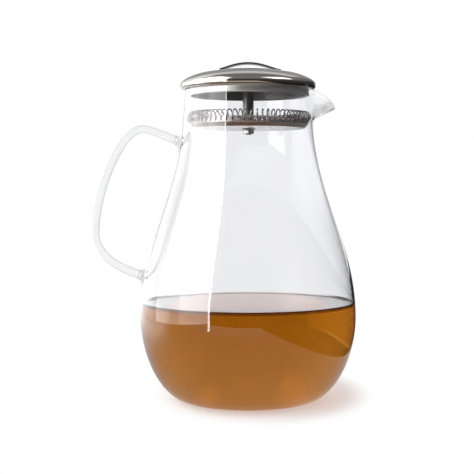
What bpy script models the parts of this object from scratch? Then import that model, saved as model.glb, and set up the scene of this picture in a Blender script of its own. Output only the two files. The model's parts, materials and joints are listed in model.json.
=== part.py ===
# A blown glass pitcher with a pulled spout and a fused handle, and a steel lid
# that carries a strainer: a pan whose rim is threaded with a coil spring.
# Metres, +Z up. The origin is the middle of the foot's underside, on the axis
# of the turned glass. The spout points to +X and the handle to -X.
import math

import bmesh
import bpy
import numpy as np
from mathutils import Vector

# Clearances and cutters
FIT_GAP = 0.0003
CUT_OVERRUN = 0.0010
MERGE_DISTANCE = 0.00001

# Glass body, outer sizes
GLASS_WALL = 0.0015
RIM_HEIGHT = 0.2157
MOUTH_RADIUS = 0.04365
NECK_HEIGHT = 0.1880
NECK_RADIUS = 0.0458
BELLY_HEIGHT = 0.0577
BELLY_RADIUS = 0.0750
FOOT_RADIUS = 0.0420
SHOULDER_LOW_PULL_SHARE = 0.368
SHOULDER_HIGH_PULL_SHARE = 0.353
BOWL_HIGH_PULL_SHARE = 0.480
BOWL_LOW_PULL_SHARE = 0.545
SHOULDER_ROWS = 6
BOWL_ROWS = 6
GLASS_STEPS = 60

# Spout, pulled from the rim
SPOUT_DEPTH = 0.0233
SPOUT_BEND_LENGTH = 0.0050
SPOUT_LEAN = math.radians(66)
SPOUT_HALF_ANGLE = math.radians(36)
SPOUT_SHRINK_SHARE = 0.12
SPOUT_FLANK_POWER = 2.6
SPOUT_ROW_SHARES = (0.27, 0.52, 0.76, 0.88)
SPOUT_SLICES = 24

# Glass handle, centre line and sections
HANDLE_TOP_HEIGHT = 0.1797
HANDLE_CREST_RADIUS = 0.0734
HANDLE_CREST_HEIGHT = 0.1885
HANDLE_REACH = 0.1065
HANDLE_REACH_HEIGHT = 0.1177
HANDLE_BOTTOM_HEIGHT = 0.0863
HANDLE_TOP_SLOPE = math.radians(18)
HANDLE_BOTTOM_SLOPE = math.radians(15)
HANDLE_LEAVE_PULL_SHARE = 0.33
HANDLE_CREST_IN_PULL_SHARE = 0.20
HANDLE_CREST_OUT_PULL_SHARE = 0.49
HANDLE_REACH_UP_PULL_SHARE = 0.33
HANDLE_REACH_DOWN_PULL_SHARE = 0.58
HANDLE_ARRIVE_PULL_SHARE = 0.52
HANDLE_THICKNESS = 0.0050
HANDLE_END_THICKNESS = 0.0063
HANDLE_WIDTH = 0.0078
HANDLE_FLARE_THICKNESS = 0.0146
HANDLE_FLARE_LENGTH = 0.0045
HANDLE_ROOT_DEPTH = 0.0030
HANDLE_POINTS = 8
HANDLE_SIDE_RESOLUTION = 4

# Lid: the dome, and under it the plug, a skirt folded back up to a raised floor
LID_SHEET = 0.0007
PLUG_CLEARANCE = 0.0005
PLUG_DEPTH = 0.0050
PLUG_FOLD_WIDTH = 0.0022
PLUG_FOLD_ROWS = 4
PLUG_FLOOR_RISE = 0.0030
DOME_RADIUS = 0.0470
DOME_HEIGHT = 0.0140
DOME_CROWN_RADIUS = 0.1710
DOME_WIDEST_HEIGHT = 0.0031
DOME_HEM_RADIUS = 0.0460
DOME_CROWN_SHARE = 0.70
DOME_CROWN_PULL = 0.0055
DOME_EDGE_PULL = 0.0030
DOME_CROWN_ROWS = 4
DOME_EDGE_ROWS = 4
LID_STEPS = 48

# Strap across the dome
STRAP_SHEET = 0.0009
STRAP_WIDTH = 0.0120
STRAP_BOW_LENGTH = 0.0400
STRAP_FOOT_LENGTH = 0.0025
STRAP_RISE = 0.0032
STRAP_BOW_POWER = 1.35
STRAP_BOW_ROWS = 16
STRAP_CORNER = 0.0002

# Screw, spacer post, washer and nut on the axis
SCREW_RADIUS = 0.0025
SCREW_HEAD_RADIUS = 0.0046
SCREW_HEAD_HEIGHT = 0.0025
SCREW_END = 0.0007
POST_RADIUS = 0.0038
POST_LENGTH = 0.0290
WASHER_RADIUS = 0.0050
WASHER_THICKNESS = 0.0005
NUT_ACROSS_FLATS = 0.0080
NUT_HEIGHT = 0.00245
NUT_CHAMFER = 0.0003
NUT_FLATS = 6
NUT_CHAMFER_FROM_ANGLE = math.radians(75)
AXIS_STEPS = 24

# Strainer pan
PAN_SHEET = 0.0006
PAN_CLEARANCE = 0.0005
PAN_HEIGHT = 0.0069
PAN_CHAMFER = 0.0028
DRAIN_HOLE_RADIUS = 0.0016
DRAIN_RING_SHARES = (0.31, 0.51, 0.71)
DRAIN_HOLE_PITCH = 0.0074
DRAIN_START_SHARE = 0.3
HOLE_SIDES = 6

# Strainer coil, threaded through the pan's wall
WIRE_RADIUS = 0.00045
COIL_RADIUS = 0.00425
COIL_CLEARANCE = 0.0005
COIL_PLACES = 67
COIL_SEAM_PLACE = 17
COIL_TURN_POINTS = 8
COIL_START_PHASE = math.radians(99)

# Heights that follow from the seats
FLANGE_UNDERSIDE = RIM_HEIGHT + FIT_GAP
PLUG_FLOOR_UNDERSIDE = FLANGE_UNDERSIDE + PLUG_FLOOR_RISE
POST_TOP = PLUG_FLOOR_UNDERSIDE - FIT_GAP
POST_BOTTOM = POST_TOP - POST_LENGTH
PAN_FLOOR_TOP = POST_BOTTOM - FIT_GAP
PAN_UNDERSIDE = PAN_FLOOR_TOP - PAN_SHEET
WASHER_TOP = PAN_UNDERSIDE - FIT_GAP
NUT_TOP = WASHER_TOP - WASHER_THICKNESS - FIT_GAP
SCREW_TIP = NUT_TOP - NUT_HEIGHT - SCREW_END
SCREW_SEAT = PLUG_FLOOR_UNDERSIDE + LID_SHEET + FIT_GAP

# Radii that follow from the mouth
MOUTH_BORE = MOUTH_RADIUS - GLASS_WALL
PLUG_RADIUS = MOUTH_BORE - PLUG_CLEARANCE
PAN_RADIUS = MOUTH_BORE - PAN_CLEARANCE
SCREW_BORE = SCREW_RADIUS + FIT_GAP
FLANGE_RADIUS = DOME_HEM_RADIUS - LID_SHEET - FIT_GAP


def new_collection(name):
    collection = bpy.data.collections.new(name)
    bpy.context.scene.collection.children.link(collection)
    return collection


def new_material(name, colour, roughness, metallic, transmission):
    material = bpy.data.materials.new(name)
    material.use_nodes = True
    shader = material.node_tree.nodes["Principled BSDF"]
    shader.inputs["Base Color"].default_value = (*colour, 1.0)
    shader.inputs["Roughness"].default_value = roughness
    shader.inputs["Metallic"].default_value = metallic
    shader.inputs["Transmission Weight"].default_value = transmission
    return material


def bezier(start, start_handle, end_handle, end, count):
    """Points along a cubic curve, without its first point."""
    points = []
    for step in range(1, count + 1):
        t = step / count
        u = 1 - t
        weights = (u ** 3, 3 * u * u * t, 3 * u * t * t, t ** 3)
        corners = (start, start_handle, end_handle, end)
        points.append(tuple(sum(w * c[k] for w, c in zip(weights, corners)) for k in range(2)))
    return points


def between(low, high, share):
    return low + (high - low) * share


def glass_outline():
    """Outer (radius, height) points, from the rim down to the middle of the foot."""
    taper = (NECK_RADIUS - MOUTH_RADIUS) / (RIM_HEIGHT - NECK_HEIGHT)
    points = [(MOUTH_RADIUS, RIM_HEIGHT)]
    for share in (*SPOUT_ROW_SHARES, 1.0):
        drop = SPOUT_DEPTH * share
        points.append((MOUTH_RADIUS + taper * drop, RIM_HEIGHT - drop))
    neck = (NECK_RADIUS, NECK_HEIGHT)
    points.append(neck)
    shoulder = NECK_HEIGHT - BELLY_HEIGHT
    neck_pull = shoulder * SHOULDER_HIGH_PULL_SHARE
    neck_handle = (NECK_RADIUS + taper * neck_pull, NECK_HEIGHT - neck_pull)
    belly = (BELLY_RADIUS, BELLY_HEIGHT)
    belly_up = (BELLY_RADIUS, BELLY_HEIGHT + shoulder * SHOULDER_LOW_PULL_SHARE)
    points += bezier(neck, neck_handle, belly_up, belly, SHOULDER_ROWS)
    foot = (FOOT_RADIUS, 0.0)
    belly_down = (BELLY_RADIUS, BELLY_HEIGHT * (1 - BOWL_HIGH_PULL_SHARE))
    foot_handle = (between(FOOT_RADIUS, BELLY_RADIUS, BOWL_LOW_PULL_SHARE), 0.0)
    points += bezier(belly, belly_down, foot_handle, foot, BOWL_ROWS)
    return points + [(0.0, 0.0)]


def radius_at(outline, height):
    """The outline's radius at a height, along its straight facets."""
    for (upper_radius, upper), (lower_radius, lower) in zip(outline, outline[1:]):
        if lower <= height <= upper and upper > lower:
            return between(lower_radius, upper_radius, (height - lower) / (upper - lower))
    return outline[0][0]


def turned(name, outline, steps, collection):
    """A surface turned round Z from an outline that runs from top to bottom."""
    mesh = bpy.data.meshes.new(name)
    vertices = [(radius, 0.0, height) for radius, height in outline]
    edges = [(index, index + 1) for index in range(len(outline) - 1)]
    mesh.from_pydata(vertices, edges, [])
    piece = bpy.data.objects.new(name, mesh)
    collection.objects.link(piece)
    screw = piece.modifiers.new("Turn", "SCREW")
    screw.steps = steps
    screw.render_steps = steps
    screw.use_merge_vertices = True
    screw.merge_threshold = MERGE_DISTANCE
    screw.use_smooth_shade = True
    return piece


def add_wall(piece, thickness):
    """Gives an open surface its sheet, on the side away from its normals."""
    solidify = piece.modifiers.new("Wall", "SOLIDIFY")
    solidify.thickness = thickness
    solidify.offset = -1
    solidify.use_even_offset = True
    return solidify


def evaluated_mesh(piece):
    """Replaces a piece's modifiers or curve with the plain mesh that they make."""
    bpy.context.view_layer.update()
    graph = bpy.context.evaluated_depsgraph_get()
    mesh = bpy.data.meshes.new_from_object(piece.evaluated_get(graph), depsgraph=graph)
    shape = bmesh.new()
    shape.from_mesh(mesh)
    bmesh.ops.remove_doubles(shape, verts=shape.verts, dist=MERGE_DISTANCE)
    shape.to_mesh(mesh)
    shape.free()
    return mesh


def replace_with_mesh(piece):
    mesh = evaluated_mesh(piece)
    name = piece.name
    collection = piece.users_collection[0]
    matrix = piece.matrix_world.copy()
    bpy.data.objects.remove(piece)
    solid = bpy.data.objects.new(name, mesh)
    solid.matrix_world = matrix
    collection.objects.link(solid)
    return solid


def cut_with(piece, cutter):
    cutter.hide_render = True
    cutter.display_type = "WIRE"
    boolean = piece.modifiers.new("Cut " + cutter.name, "BOOLEAN")
    boolean.operation = "DIFFERENCE"
    boolean.solver = "EXACT"
    boolean.object = cutter


def prism_ring(name, places, radius, length, sides, collection):
    """One cutter of many prisms, each given by its middle and its direction."""
    shape = bmesh.new()
    for middle, direction in places:
        turn = Vector(direction).to_track_quat("Z", "Y").to_matrix().to_4x4()
        turn.translation = middle
        bmesh.ops.create_cone(
            shape, cap_ends=True, segments=sides, radius1=radius, radius2=radius, depth=length, matrix=turn)
    mesh = bpy.data.meshes.new(name)
    shape.to_mesh(mesh)
    shape.free()
    cutter = bpy.data.objects.new(name, mesh)
    collection.objects.link(cutter)
    return cutter


def spout_offset(rise, pull):
    """How far the wall leans out and how high it reaches, a length above the spout's root."""
    out = 0.0
    up = 0.0
    length = rise * (1 - SPOUT_SHRINK_SHARE * pull * (2 - pull)) / SPOUT_SLICES
    for index in range(SPOUT_SLICES):
        bent = min(1.0, rise * (index + 0.5) / SPOUT_SLICES / SPOUT_BEND_LENGTH)
        lean = pull * SPOUT_LEAN * bent * bent * (3 - 2 * bent)
        out += math.sin(lean) * length
        up += math.cos(lean) * length
    return out, up


def pull_spout(mesh):
    """Leans the top of the wall outwards round +X, as a lip is pulled in hot glass."""
    root = RIM_HEIGHT - SPOUT_DEPTH
    for vertex in mesh.vertices:
        rise = vertex.co.z - root
        angle = math.atan2(vertex.co.y, vertex.co.x)
        if rise <= 0 or abs(angle) >= SPOUT_HALF_ANGLE:
            continue
        pull = math.cos(math.pi / 2 * angle / SPOUT_HALF_ANGLE) ** SPOUT_FLANK_POWER
        out, up = spout_offset(rise, pull)
        radius = math.hypot(vertex.co.x, vertex.co.y) + out
        vertex.co = (radius * math.cos(angle), radius * math.sin(angle), root + up)


def make_glass_body(outline, parts):
    body = replace_with_mesh(turned("glass_body", outline, GLASS_STEPS, parts))
    pull_spout(body.data)
    add_wall(body, GLASS_WALL)
    return body


def handle_route(outline):
    """(radius, height) points of the handle's centre line, from top joint to bottom joint."""
    top_radius = radius_at(outline, HANDLE_TOP_HEIGHT)
    bottom_radius = radius_at(outline, HANDLE_BOTTOM_HEIGHT)
    top = (top_radius, HANDLE_TOP_HEIGHT)
    crest = (HANDLE_CREST_RADIUS, HANDLE_CREST_HEIGHT)
    reach = (HANDLE_REACH, HANDLE_REACH_HEIGHT)
    bottom = (bottom_radius, HANDLE_BOTTOM_HEIGHT)
    rise_out = HANDLE_CREST_RADIUS - top_radius
    leave = rise_out * HANDLE_LEAVE_PULL_SHARE / math.cos(HANDLE_TOP_SLOPE)
    top_pull = (top_radius + leave * math.cos(HANDLE_TOP_SLOPE),
                HANDLE_TOP_HEIGHT + leave * math.sin(HANDLE_TOP_SLOPE))
    crest_in = (HANDLE_CREST_RADIUS - rise_out * HANDLE_CREST_IN_PULL_SHARE, HANDLE_CREST_HEIGHT)
    crest_out = (between(HANDLE_CREST_RADIUS, HANDLE_REACH, HANDLE_CREST_OUT_PULL_SHARE), HANDLE_CREST_HEIGHT)
    fall = HANDLE_CREST_HEIGHT - HANDLE_REACH_HEIGHT
    reach_up = (HANDLE_REACH, HANDLE_REACH_HEIGHT + fall * HANDLE_REACH_UP_PULL_SHARE)
    tuck = HANDLE_REACH_HEIGHT - HANDLE_BOTTOM_HEIGHT
    reach_down = (HANDLE_REACH, HANDLE_REACH_HEIGHT - tuck * HANDLE_REACH_DOWN_PULL_SHARE)
    arrive = (HANDLE_REACH - bottom_radius) * HANDLE_ARRIVE_PULL_SHARE
    bottom_pull = (bottom_radius + arrive * math.cos(HANDLE_BOTTOM_SLOPE),
                   HANDLE_BOTTOM_HEIGHT + arrive * math.sin(HANDLE_BOTTOM_SLOPE))
    top_root = (top_radius - HANDLE_ROOT_DEPTH * math.cos(HANDLE_TOP_SLOPE),
                HANDLE_TOP_HEIGHT - HANDLE_ROOT_DEPTH * math.sin(HANDLE_TOP_SLOPE))
    bottom_root = (bottom_radius - HANDLE_ROOT_DEPTH * math.cos(HANDLE_BOTTOM_SLOPE),
                   HANDLE_BOTTOM_HEIGHT - HANDLE_ROOT_DEPTH * math.sin(HANDLE_BOTTOM_SLOPE))
    points = [top_root, top]
    points += bezier(top, top_pull, crest_in, crest, HANDLE_POINTS)
    points += bezier(crest, crest_out, reach_up, reach, HANDLE_POINTS)
    points += bezier(reach, reach_down, bottom_pull, bottom, HANDLE_POINTS)
    return points + [bottom_root]


def handle_swell(run, length):
    """The rod's half thickness at a distance along it: thin in the middle, flared at its roots."""
    middle = math.sin(math.pi * run / length)
    half = between(HANDLE_END_THICKNESS, HANDLE_THICKNESS, middle) / 2
    from_wall = min(run, length - run) - HANDLE_ROOT_DEPTH
    flare = max(0.0, 1 - max(0.0, from_wall) / HANDLE_FLARE_LENGTH)
    return half + (HANDLE_FLARE_THICKNESS - HANDLE_END_THICKNESS) / 2 * flare ** 2


def make_glass_handle(outline, parts, cutters):
    route = [Vector((-radius, 0.0, height)) for radius, height in handle_route(outline)]
    runs = [0.0]
    for start, end in zip(route, route[1:]):
        runs.append(runs[-1] + (end - start).length)
    curve = bpy.data.curves.new("glass_handle", "CURVE")
    curve.dimensions = "3D"
    curve.bevel_depth = 1
    curve.bevel_resolution = HANDLE_SIDE_RESOLUTION
    curve.use_fill_caps = True
    spline = curve.splines.new("POLY")
    spline.points.add(len(route) - 1)
    for point, place, run in zip(spline.points, route, runs):
        point.co = (*place, 1.0)
        point.radius = handle_swell(run, runs[-1])
    rod = bpy.data.objects.new("glass_handle", curve)
    parts.objects.link(rod)
    handle = replace_with_mesh(rod)
    for vertex in handle.data.vertices:
        vertex.co.y *= HANDLE_WIDTH / HANDLE_THICKNESS
    handle.data.shade_smooth()
    rim = outline[0]
    clearance = [(radius + FIT_GAP if radius > 0 else 0.0, height) for radius, height in outline]
    clearance = [(0.0, rim[1])] + clearance
    cut_with(handle, turned("handle_root_cutter", clearance, GLASS_STEPS, cutters))
    return handle


def dome_height_at(radius):
    """Height of the crown's outer face over the flange's underside."""
    sagitta = DOME_CROWN_RADIUS - math.sqrt(DOME_CROWN_RADIUS ** 2 - radius ** 2)
    return DOME_HEIGHT - sagitta


def make_lid_dome(parts):
    crown_edge = DOME_RADIUS * DOME_CROWN_SHARE
    outline = []
    for row in range(DOME_CROWN_ROWS + 1):
        radius = crown_edge * row / DOME_CROWN_ROWS
        outline.append((radius, dome_height_at(radius)))
    slope = crown_edge / math.sqrt(DOME_CROWN_RADIUS ** 2 - crown_edge ** 2)
    crown = outline[-1]
    crown_pull = (crown[0] + DOME_CROWN_PULL, crown[1] - DOME_CROWN_PULL * slope)
    widest = (DOME_RADIUS, DOME_WIDEST_HEIGHT)
    edge_pull = (DOME_RADIUS, DOME_WIDEST_HEIGHT + DOME_EDGE_PULL)
    outline += bezier(crown, crown_pull, edge_pull, widest, DOME_EDGE_ROWS)
    hem = (DOME_HEM_RADIUS, 0.0)
    hem_pull = (DOME_RADIUS, DOME_WIDEST_HEIGHT / 2)
    outline += bezier(widest, hem_pull, hem_pull, hem, DOME_EDGE_ROWS // 2)
    dome = turned("lid_dome", outline, LID_STEPS, parts)
    add_wall(dome, LID_SHEET)
    return dome


def make_lid_plug(parts):
    fold = PLUG_FOLD_WIDTH / 2
    outline = [(FLANGE_RADIUS, 0.0), (PLUG_RADIUS, 0.0)]
    for row in range(PLUG_FOLD_ROWS + 1):
        turn = math.pi * row / PLUG_FOLD_ROWS
        outline.append((PLUG_RADIUS - fold + fold * math.cos(turn), fold - PLUG_DEPTH - fold * math.sin(turn)))
    outline += [(PLUG_RADIUS - PLUG_FOLD_WIDTH, PLUG_FLOOR_RISE), (SCREW_BORE, PLUG_FLOOR_RISE)]
    plug = turned("lid_plug", outline, LID_STEPS, parts)
    add_wall(plug, LID_SHEET)
    return plug


def strap_underside(along):
    """Height of the strap's underside over the flange's underside, at a distance from the axis."""
    share = min(1.0, abs(along) / (STRAP_BOW_LENGTH / 2))
    bow = STRAP_RISE * (1 - share * share) ** STRAP_BOW_POWER
    return dome_height_at(abs(along)) + FIT_GAP + bow


def make_strap_handle(parts):
    half_bow = STRAP_BOW_LENGTH / 2
    stations = [-half_bow - STRAP_FOOT_LENGTH]
    stations += [-half_bow + STRAP_BOW_LENGTH * row / STRAP_BOW_ROWS for row in range(STRAP_BOW_ROWS + 1)]
    stations += [half_bow + STRAP_FOOT_LENGTH]
    shape = bmesh.new()
    lower = [shape.verts.new((x, -STRAP_WIDTH / 2, strap_underside(x))) for x in stations]
    line = [shape.edges.new(pair) for pair in zip(lower, lower[1:])]
    swept = bmesh.ops.extrude_edge_only(shape, edges=line)
    moved = [item for item in swept["geom"] if isinstance(item, bmesh.types.BMVert)]
    bmesh.ops.translate(shape, verts=moved, vec=(0.0, STRAP_WIDTH, 0.0))
    bmesh.ops.recalc_face_normals(shape, faces=shape.faces)
    if shape.faces[:][0].normal.z < 0:
        bmesh.ops.reverse_faces(shape, faces=shape.faces)
    mesh = bpy.data.meshes.new("strap_handle")
    shape.to_mesh(mesh)
    shape.free()
    strap = bpy.data.objects.new("strap_handle", mesh)
    parts.objects.link(strap)
    add_wall(strap, STRAP_SHEET).offset = 1
    bevel = strap.modifiers.new("Edges", "BEVEL")
    bevel.width = STRAP_CORNER
    bevel.segments = 1
    bevel.limit_method = "ANGLE"
    return strap


def make_center_post(parts):
    outline = [
        (SCREW_BORE, 0.0),
        (POST_RADIUS, 0.0),
        (POST_RADIUS, -POST_LENGTH),
        (SCREW_BORE, -POST_LENGTH),
        (SCREW_BORE, 0.0),
    ]
    return turned("center_post", outline, AXIS_STEPS, parts)


def make_clamp_screw(parts):
    tip = SCREW_TIP - SCREW_SEAT
    shoulder = SCREW_HEAD_RADIUS - SCREW_HEAD_HEIGHT / 2
    outline = [
        (0.0, SCREW_HEAD_HEIGHT),
        (shoulder, SCREW_HEAD_HEIGHT),
        (SCREW_HEAD_RADIUS, SCREW_HEAD_HEIGHT / 2),
        (SCREW_HEAD_RADIUS, 0.0),
        (SCREW_RADIUS, 0.0),
        (SCREW_RADIUS, tip + SCREW_END / 2),
        (SCREW_RADIUS - SCREW_END / 2, tip),
        (0.0, tip),
    ]
    return turned("clamp_screw", outline, AXIS_STEPS, parts)


def make_washer(parts):
    outline = [
        (SCREW_BORE, 0.0),
        (WASHER_RADIUS, 0.0),
        (WASHER_RADIUS, -WASHER_THICKNESS),
        (SCREW_BORE, -WASHER_THICKNESS),
        (SCREW_BORE, 0.0),
    ]
    return turned("washer", outline, AXIS_STEPS, parts)


def make_hex_nut(parts, cutters):
    corner_radius = NUT_ACROSS_FLATS / 2 / math.cos(math.pi / NUT_FLATS)
    shape = bmesh.new()
    bmesh.ops.create_cone(
        shape, cap_ends=True, segments=NUT_FLATS, radius1=corner_radius, radius2=corner_radius, depth=NUT_HEIGHT)
    bmesh.ops.translate(shape, verts=shape.verts, vec=(0.0, 0.0, -NUT_HEIGHT / 2))
    mesh = bpy.data.meshes.new("hex_nut")
    shape.to_mesh(mesh)
    shape.free()
    nut = bpy.data.objects.new("hex_nut", mesh)
    parts.objects.link(nut)
    bevel = nut.modifiers.new("Edges", "BEVEL")
    bevel.width = NUT_CHAMFER
    bevel.segments = 1
    bevel.limit_method = "ANGLE"
    bevel.angle_limit = NUT_CHAMFER_FROM_ANGLE
    bore = [((0.0, 0.0, NUT_TOP - NUT_HEIGHT / 2), (0.0, 0.0, 1.0))]
    cutter = prism_ring("nut_bore_cutter", bore, SCREW_BORE, NUT_HEIGHT + CUT_OVERRUN * 2, AXIS_STEPS, cutters)
    cut_with(nut, cutter)
    return nut


def pan_outline():
    """Outer face of the pan over its floor's underside, from the wall's top to the screw's hole."""
    return [
        (PAN_RADIUS, PAN_HEIGHT),
        (PAN_RADIUS, PAN_CHAMFER),
        (PAN_RADIUS - PAN_CHAMFER, 0.0),
        (SCREW_BORE, 0.0),
    ]


def drain_places():
    """Middles and directions of the holes in the pan's floor, in rings."""
    places = []
    for share in DRAIN_RING_SHARES:
        ring = (PAN_RADIUS - PAN_CHAMFER) * share
        count = int(math.tau * ring / DRAIN_HOLE_PITCH)
        for index in range(count):
            angle = math.tau * (index + DRAIN_START_SHARE) / count
            middle = (ring * math.cos(angle), ring * math.sin(angle), PAN_UNDERSIDE + PAN_SHEET / 2)
            places.append((middle, (0.0, 0.0, 1.0)))
    return places


def coil_seat(outline):
    """Ring radius and height of the coil: near the neck's inner face, down on the pan's chamfer."""
    neck_bore = radius_at(outline, PAN_UNDERSIDE + PAN_HEIGHT) - GLASS_WALL
    ring = neck_bore - COIL_CLEARANCE - COIL_RADIUS
    chamfer_line = PAN_UNDERSIDE + PAN_CHAMFER - PAN_RADIUS + PAN_SHEET * math.sqrt(2)
    height = ring + chamfer_line + (COIL_RADIUS + FIT_GAP) * math.sqrt(2)
    return ring, height


def coil_points(ring, height):
    """Centre line of the coil: a helix bent round the axis, open by one turn at its seam."""
    turns = COIL_PLACES - 1
    reach = COIL_RADIUS - WIRE_RADIUS
    points = []
    for index in range(turns * COIL_TURN_POINTS + 1):
        phase = COIL_START_PHASE + math.tau * index / COIL_TURN_POINTS
        angle = math.tau * index / COIL_TURN_POINTS / COIL_PLACES
        radius = ring + reach * math.cos(phase)
        points.append(Vector((
            radius * math.cos(angle), radius * math.sin(angle), height + reach * math.sin(phase))))
    first = (points[0] - points[1]).normalized() * WIRE_RADIUS * 2
    last = (points[-1] - points[-2]).normalized() * WIRE_RADIUS * 2
    return [points[0] + first] + points + [points[-1] + last]


def coil_gap(points):
    """The least gap between turns that lie next to each other, measured on the points."""
    places = np.array(points)
    least = math.inf
    for index in range(len(places) - COIL_TURN_POINTS // 2):
        others = places[index + COIL_TURN_POINTS // 2:]
        least = min(least, float(np.linalg.norm(others - places[index], axis=1).min()))
    return least - WIRE_RADIUS * 2


def coil_crossing(points):
    """Angle, height and tilt where the first turn passes out through the middle of the pan's wall."""
    wall = PAN_RADIUS - PAN_SHEET / 2
    for start, end in zip(points, points[1:]):
        inner = math.hypot(start.x, start.y)
        outer = math.hypot(end.x, end.y)
        if inner < wall <= outer:
            place = start.lerp(end, (wall - inner) / (outer - inner))
            tilt = math.atan2(abs(end.z - start.z), outer - inner)
            return math.atan2(place.y, place.x), place.z, tilt
    raise ValueError("the coil does not reach the pan's wall")


def make_strainer_coil(points, turn, parts):
    curve = bpy.data.curves.new("strainer_coil", "CURVE")
    curve.dimensions = "3D"
    curve.bevel_depth = WIRE_RADIUS
    curve.bevel_resolution = 1
    curve.use_fill_caps = True
    spline = curve.splines.new("POLY")
    spline.points.add(len(points) - 1)
    for point, place in zip(spline.points, points):
        point.co = (*place, 1.0)
    wire = bpy.data.objects.new("strainer_coil", curve)
    wire.rotation_euler.z = turn
    parts.objects.link(wire)
    bpy.context.view_layer.update()
    coil = replace_with_mesh(wire)
    coil.data.shade_smooth()
    return coil


def make_strainer_pan(crossing, parts, cutters):
    pan = turned("strainer_pan", pan_outline(), COIL_PLACES, parts)
    add_wall(pan, PAN_SHEET)
    cutter = prism_ring(
        "drain_hole_cutter", drain_places(), DRAIN_HOLE_RADIUS, PAN_SHEET + CUT_OVERRUN * 2, HOLE_SIDES, cutters)
    cut_with(pan, cutter)
    height, tilt = crossing
    hole = WIRE_RADIUS / math.cos(tilt) + PAN_SHEET / 2 * math.tan(tilt) + FIT_GAP
    hole = hole / math.cos(math.pi / HOLE_SIDES)
    places = []
    for place in range(COIL_PLACES - 1):
        angle = math.tau * (place + COIL_SEAM_PLACE + 0.5) / COIL_PLACES
        out = Vector((math.cos(angle), math.sin(angle), 0.0))
        middle = out * (PAN_RADIUS - PAN_SHEET / 2)
        middle.z = height
        places.append((middle, out))
    cutter = prism_ring("coil_hole_cutter", places, hole, PAN_SHEET + CUT_OVERRUN * 2, HOLE_SIDES, cutters)
    cut_with(pan, cutter)
    return pan


def axis_empty(name, height, parent, collection):
    """An empty on the axis, for the pieces that move together."""
    empty = bpy.data.objects.new(name, None)
    collection.objects.link(empty)
    empty.empty_display_size = BELLY_RADIUS / 2
    empty.parent = parent
    base = parent["height"] if parent else 0.0
    empty["height"] = height
    empty.location.z = height - base
    return empty


def seat(piece, height, empty):
    """Sets a piece on the axis at a height and hangs it on its empty."""
    piece.parent = empty
    piece.location.z = height - empty["height"]


def paint(piece, material):
    piece.data.materials.clear()
    piece.data.materials.append(material)


def main():
    for old in list(bpy.data.objects):
        bpy.data.objects.remove(old)
    parts = new_collection("glass_pitcher")
    cutters = new_collection("cutters")
    outline = glass_outline()

    paint(make_glass_body(outline, parts), new_material("body_glass", (0.97, 0.98, 0.98), 0.02, 0.0, 1.0))
    paint(make_glass_handle(outline, parts, cutters),
          new_material("handle_glass", (0.96, 0.97, 0.98), 0.03, 0.0, 1.0))

    lift = axis_empty("lid_lift_axis", RIM_HEIGHT, None, parts)
    cap = axis_empty("cap_turn_axis", PLUG_FLOOR_UNDERSIDE, lift, parts)

    dome = make_lid_dome(parts)
    seat(dome, FLANGE_UNDERSIDE, cap)
    paint(dome, new_material("dome_steel", (0.66, 0.64, 0.62), 0.16, 1.0, 0.0))
    plug = make_lid_plug(parts)
    seat(plug, FLANGE_UNDERSIDE, cap)
    paint(plug, new_material("plug_steel", (0.70, 0.69, 0.67), 0.12, 1.0, 0.0))
    strap = make_strap_handle(parts)
    seat(strap, FLANGE_UNDERSIDE, cap)
    paint(strap, new_material("strap_steel", (0.68, 0.66, 0.64), 0.14, 1.0, 0.0))

    post = make_center_post(parts)
    seat(post, POST_TOP, lift)
    paint(post, new_material("post_steel", (0.60, 0.59, 0.58), 0.15, 1.0, 0.0))
    screw = make_clamp_screw(parts)
    seat(screw, SCREW_SEAT, lift)
    paint(screw, new_material("screw_steel", (0.62, 0.61, 0.60), 0.25, 1.0, 0.0))
    washer = make_washer(parts)
    seat(washer, WASHER_TOP, lift)
    paint(washer, new_material("washer_steel", (0.66, 0.65, 0.64), 0.25, 1.0, 0.0))
    nut = make_hex_nut(parts, cutters)
    seat(nut, NUT_TOP, lift)
    paint(nut, new_material("nut_steel", (0.68, 0.67, 0.66), 0.22, 1.0, 0.0))

    points = coil_points(*coil_seat(outline))
    print(f"strainer_coil: least gap to itself {coil_gap(points) * 1000:.2f} mm")
    angle, height, tilt = coil_crossing(points)
    first_hole = math.tau * (COIL_SEAM_PLACE + 0.5) / COIL_PLACES
    coil = make_strainer_coil(points, first_hole - angle, parts)
    coil.parent = lift
    coil.matrix_parent_inverse = lift.matrix_world.inverted()
    paint(coil, new_material("coil_steel", (0.64, 0.62, 0.60), 0.20, 1.0, 0.0))
    pan = make_strainer_pan((height, tilt), parts, cutters)
    seat(pan, PAN_UNDERSIDE, lift)
    paint(pan, new_material("pan_steel", (0.62, 0.60, 0.58), 0.18, 1.0, 0.0))


main()
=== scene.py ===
"""Dresses a blown glass pitcher and its steel strainer lid for a studio picture."""

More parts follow.
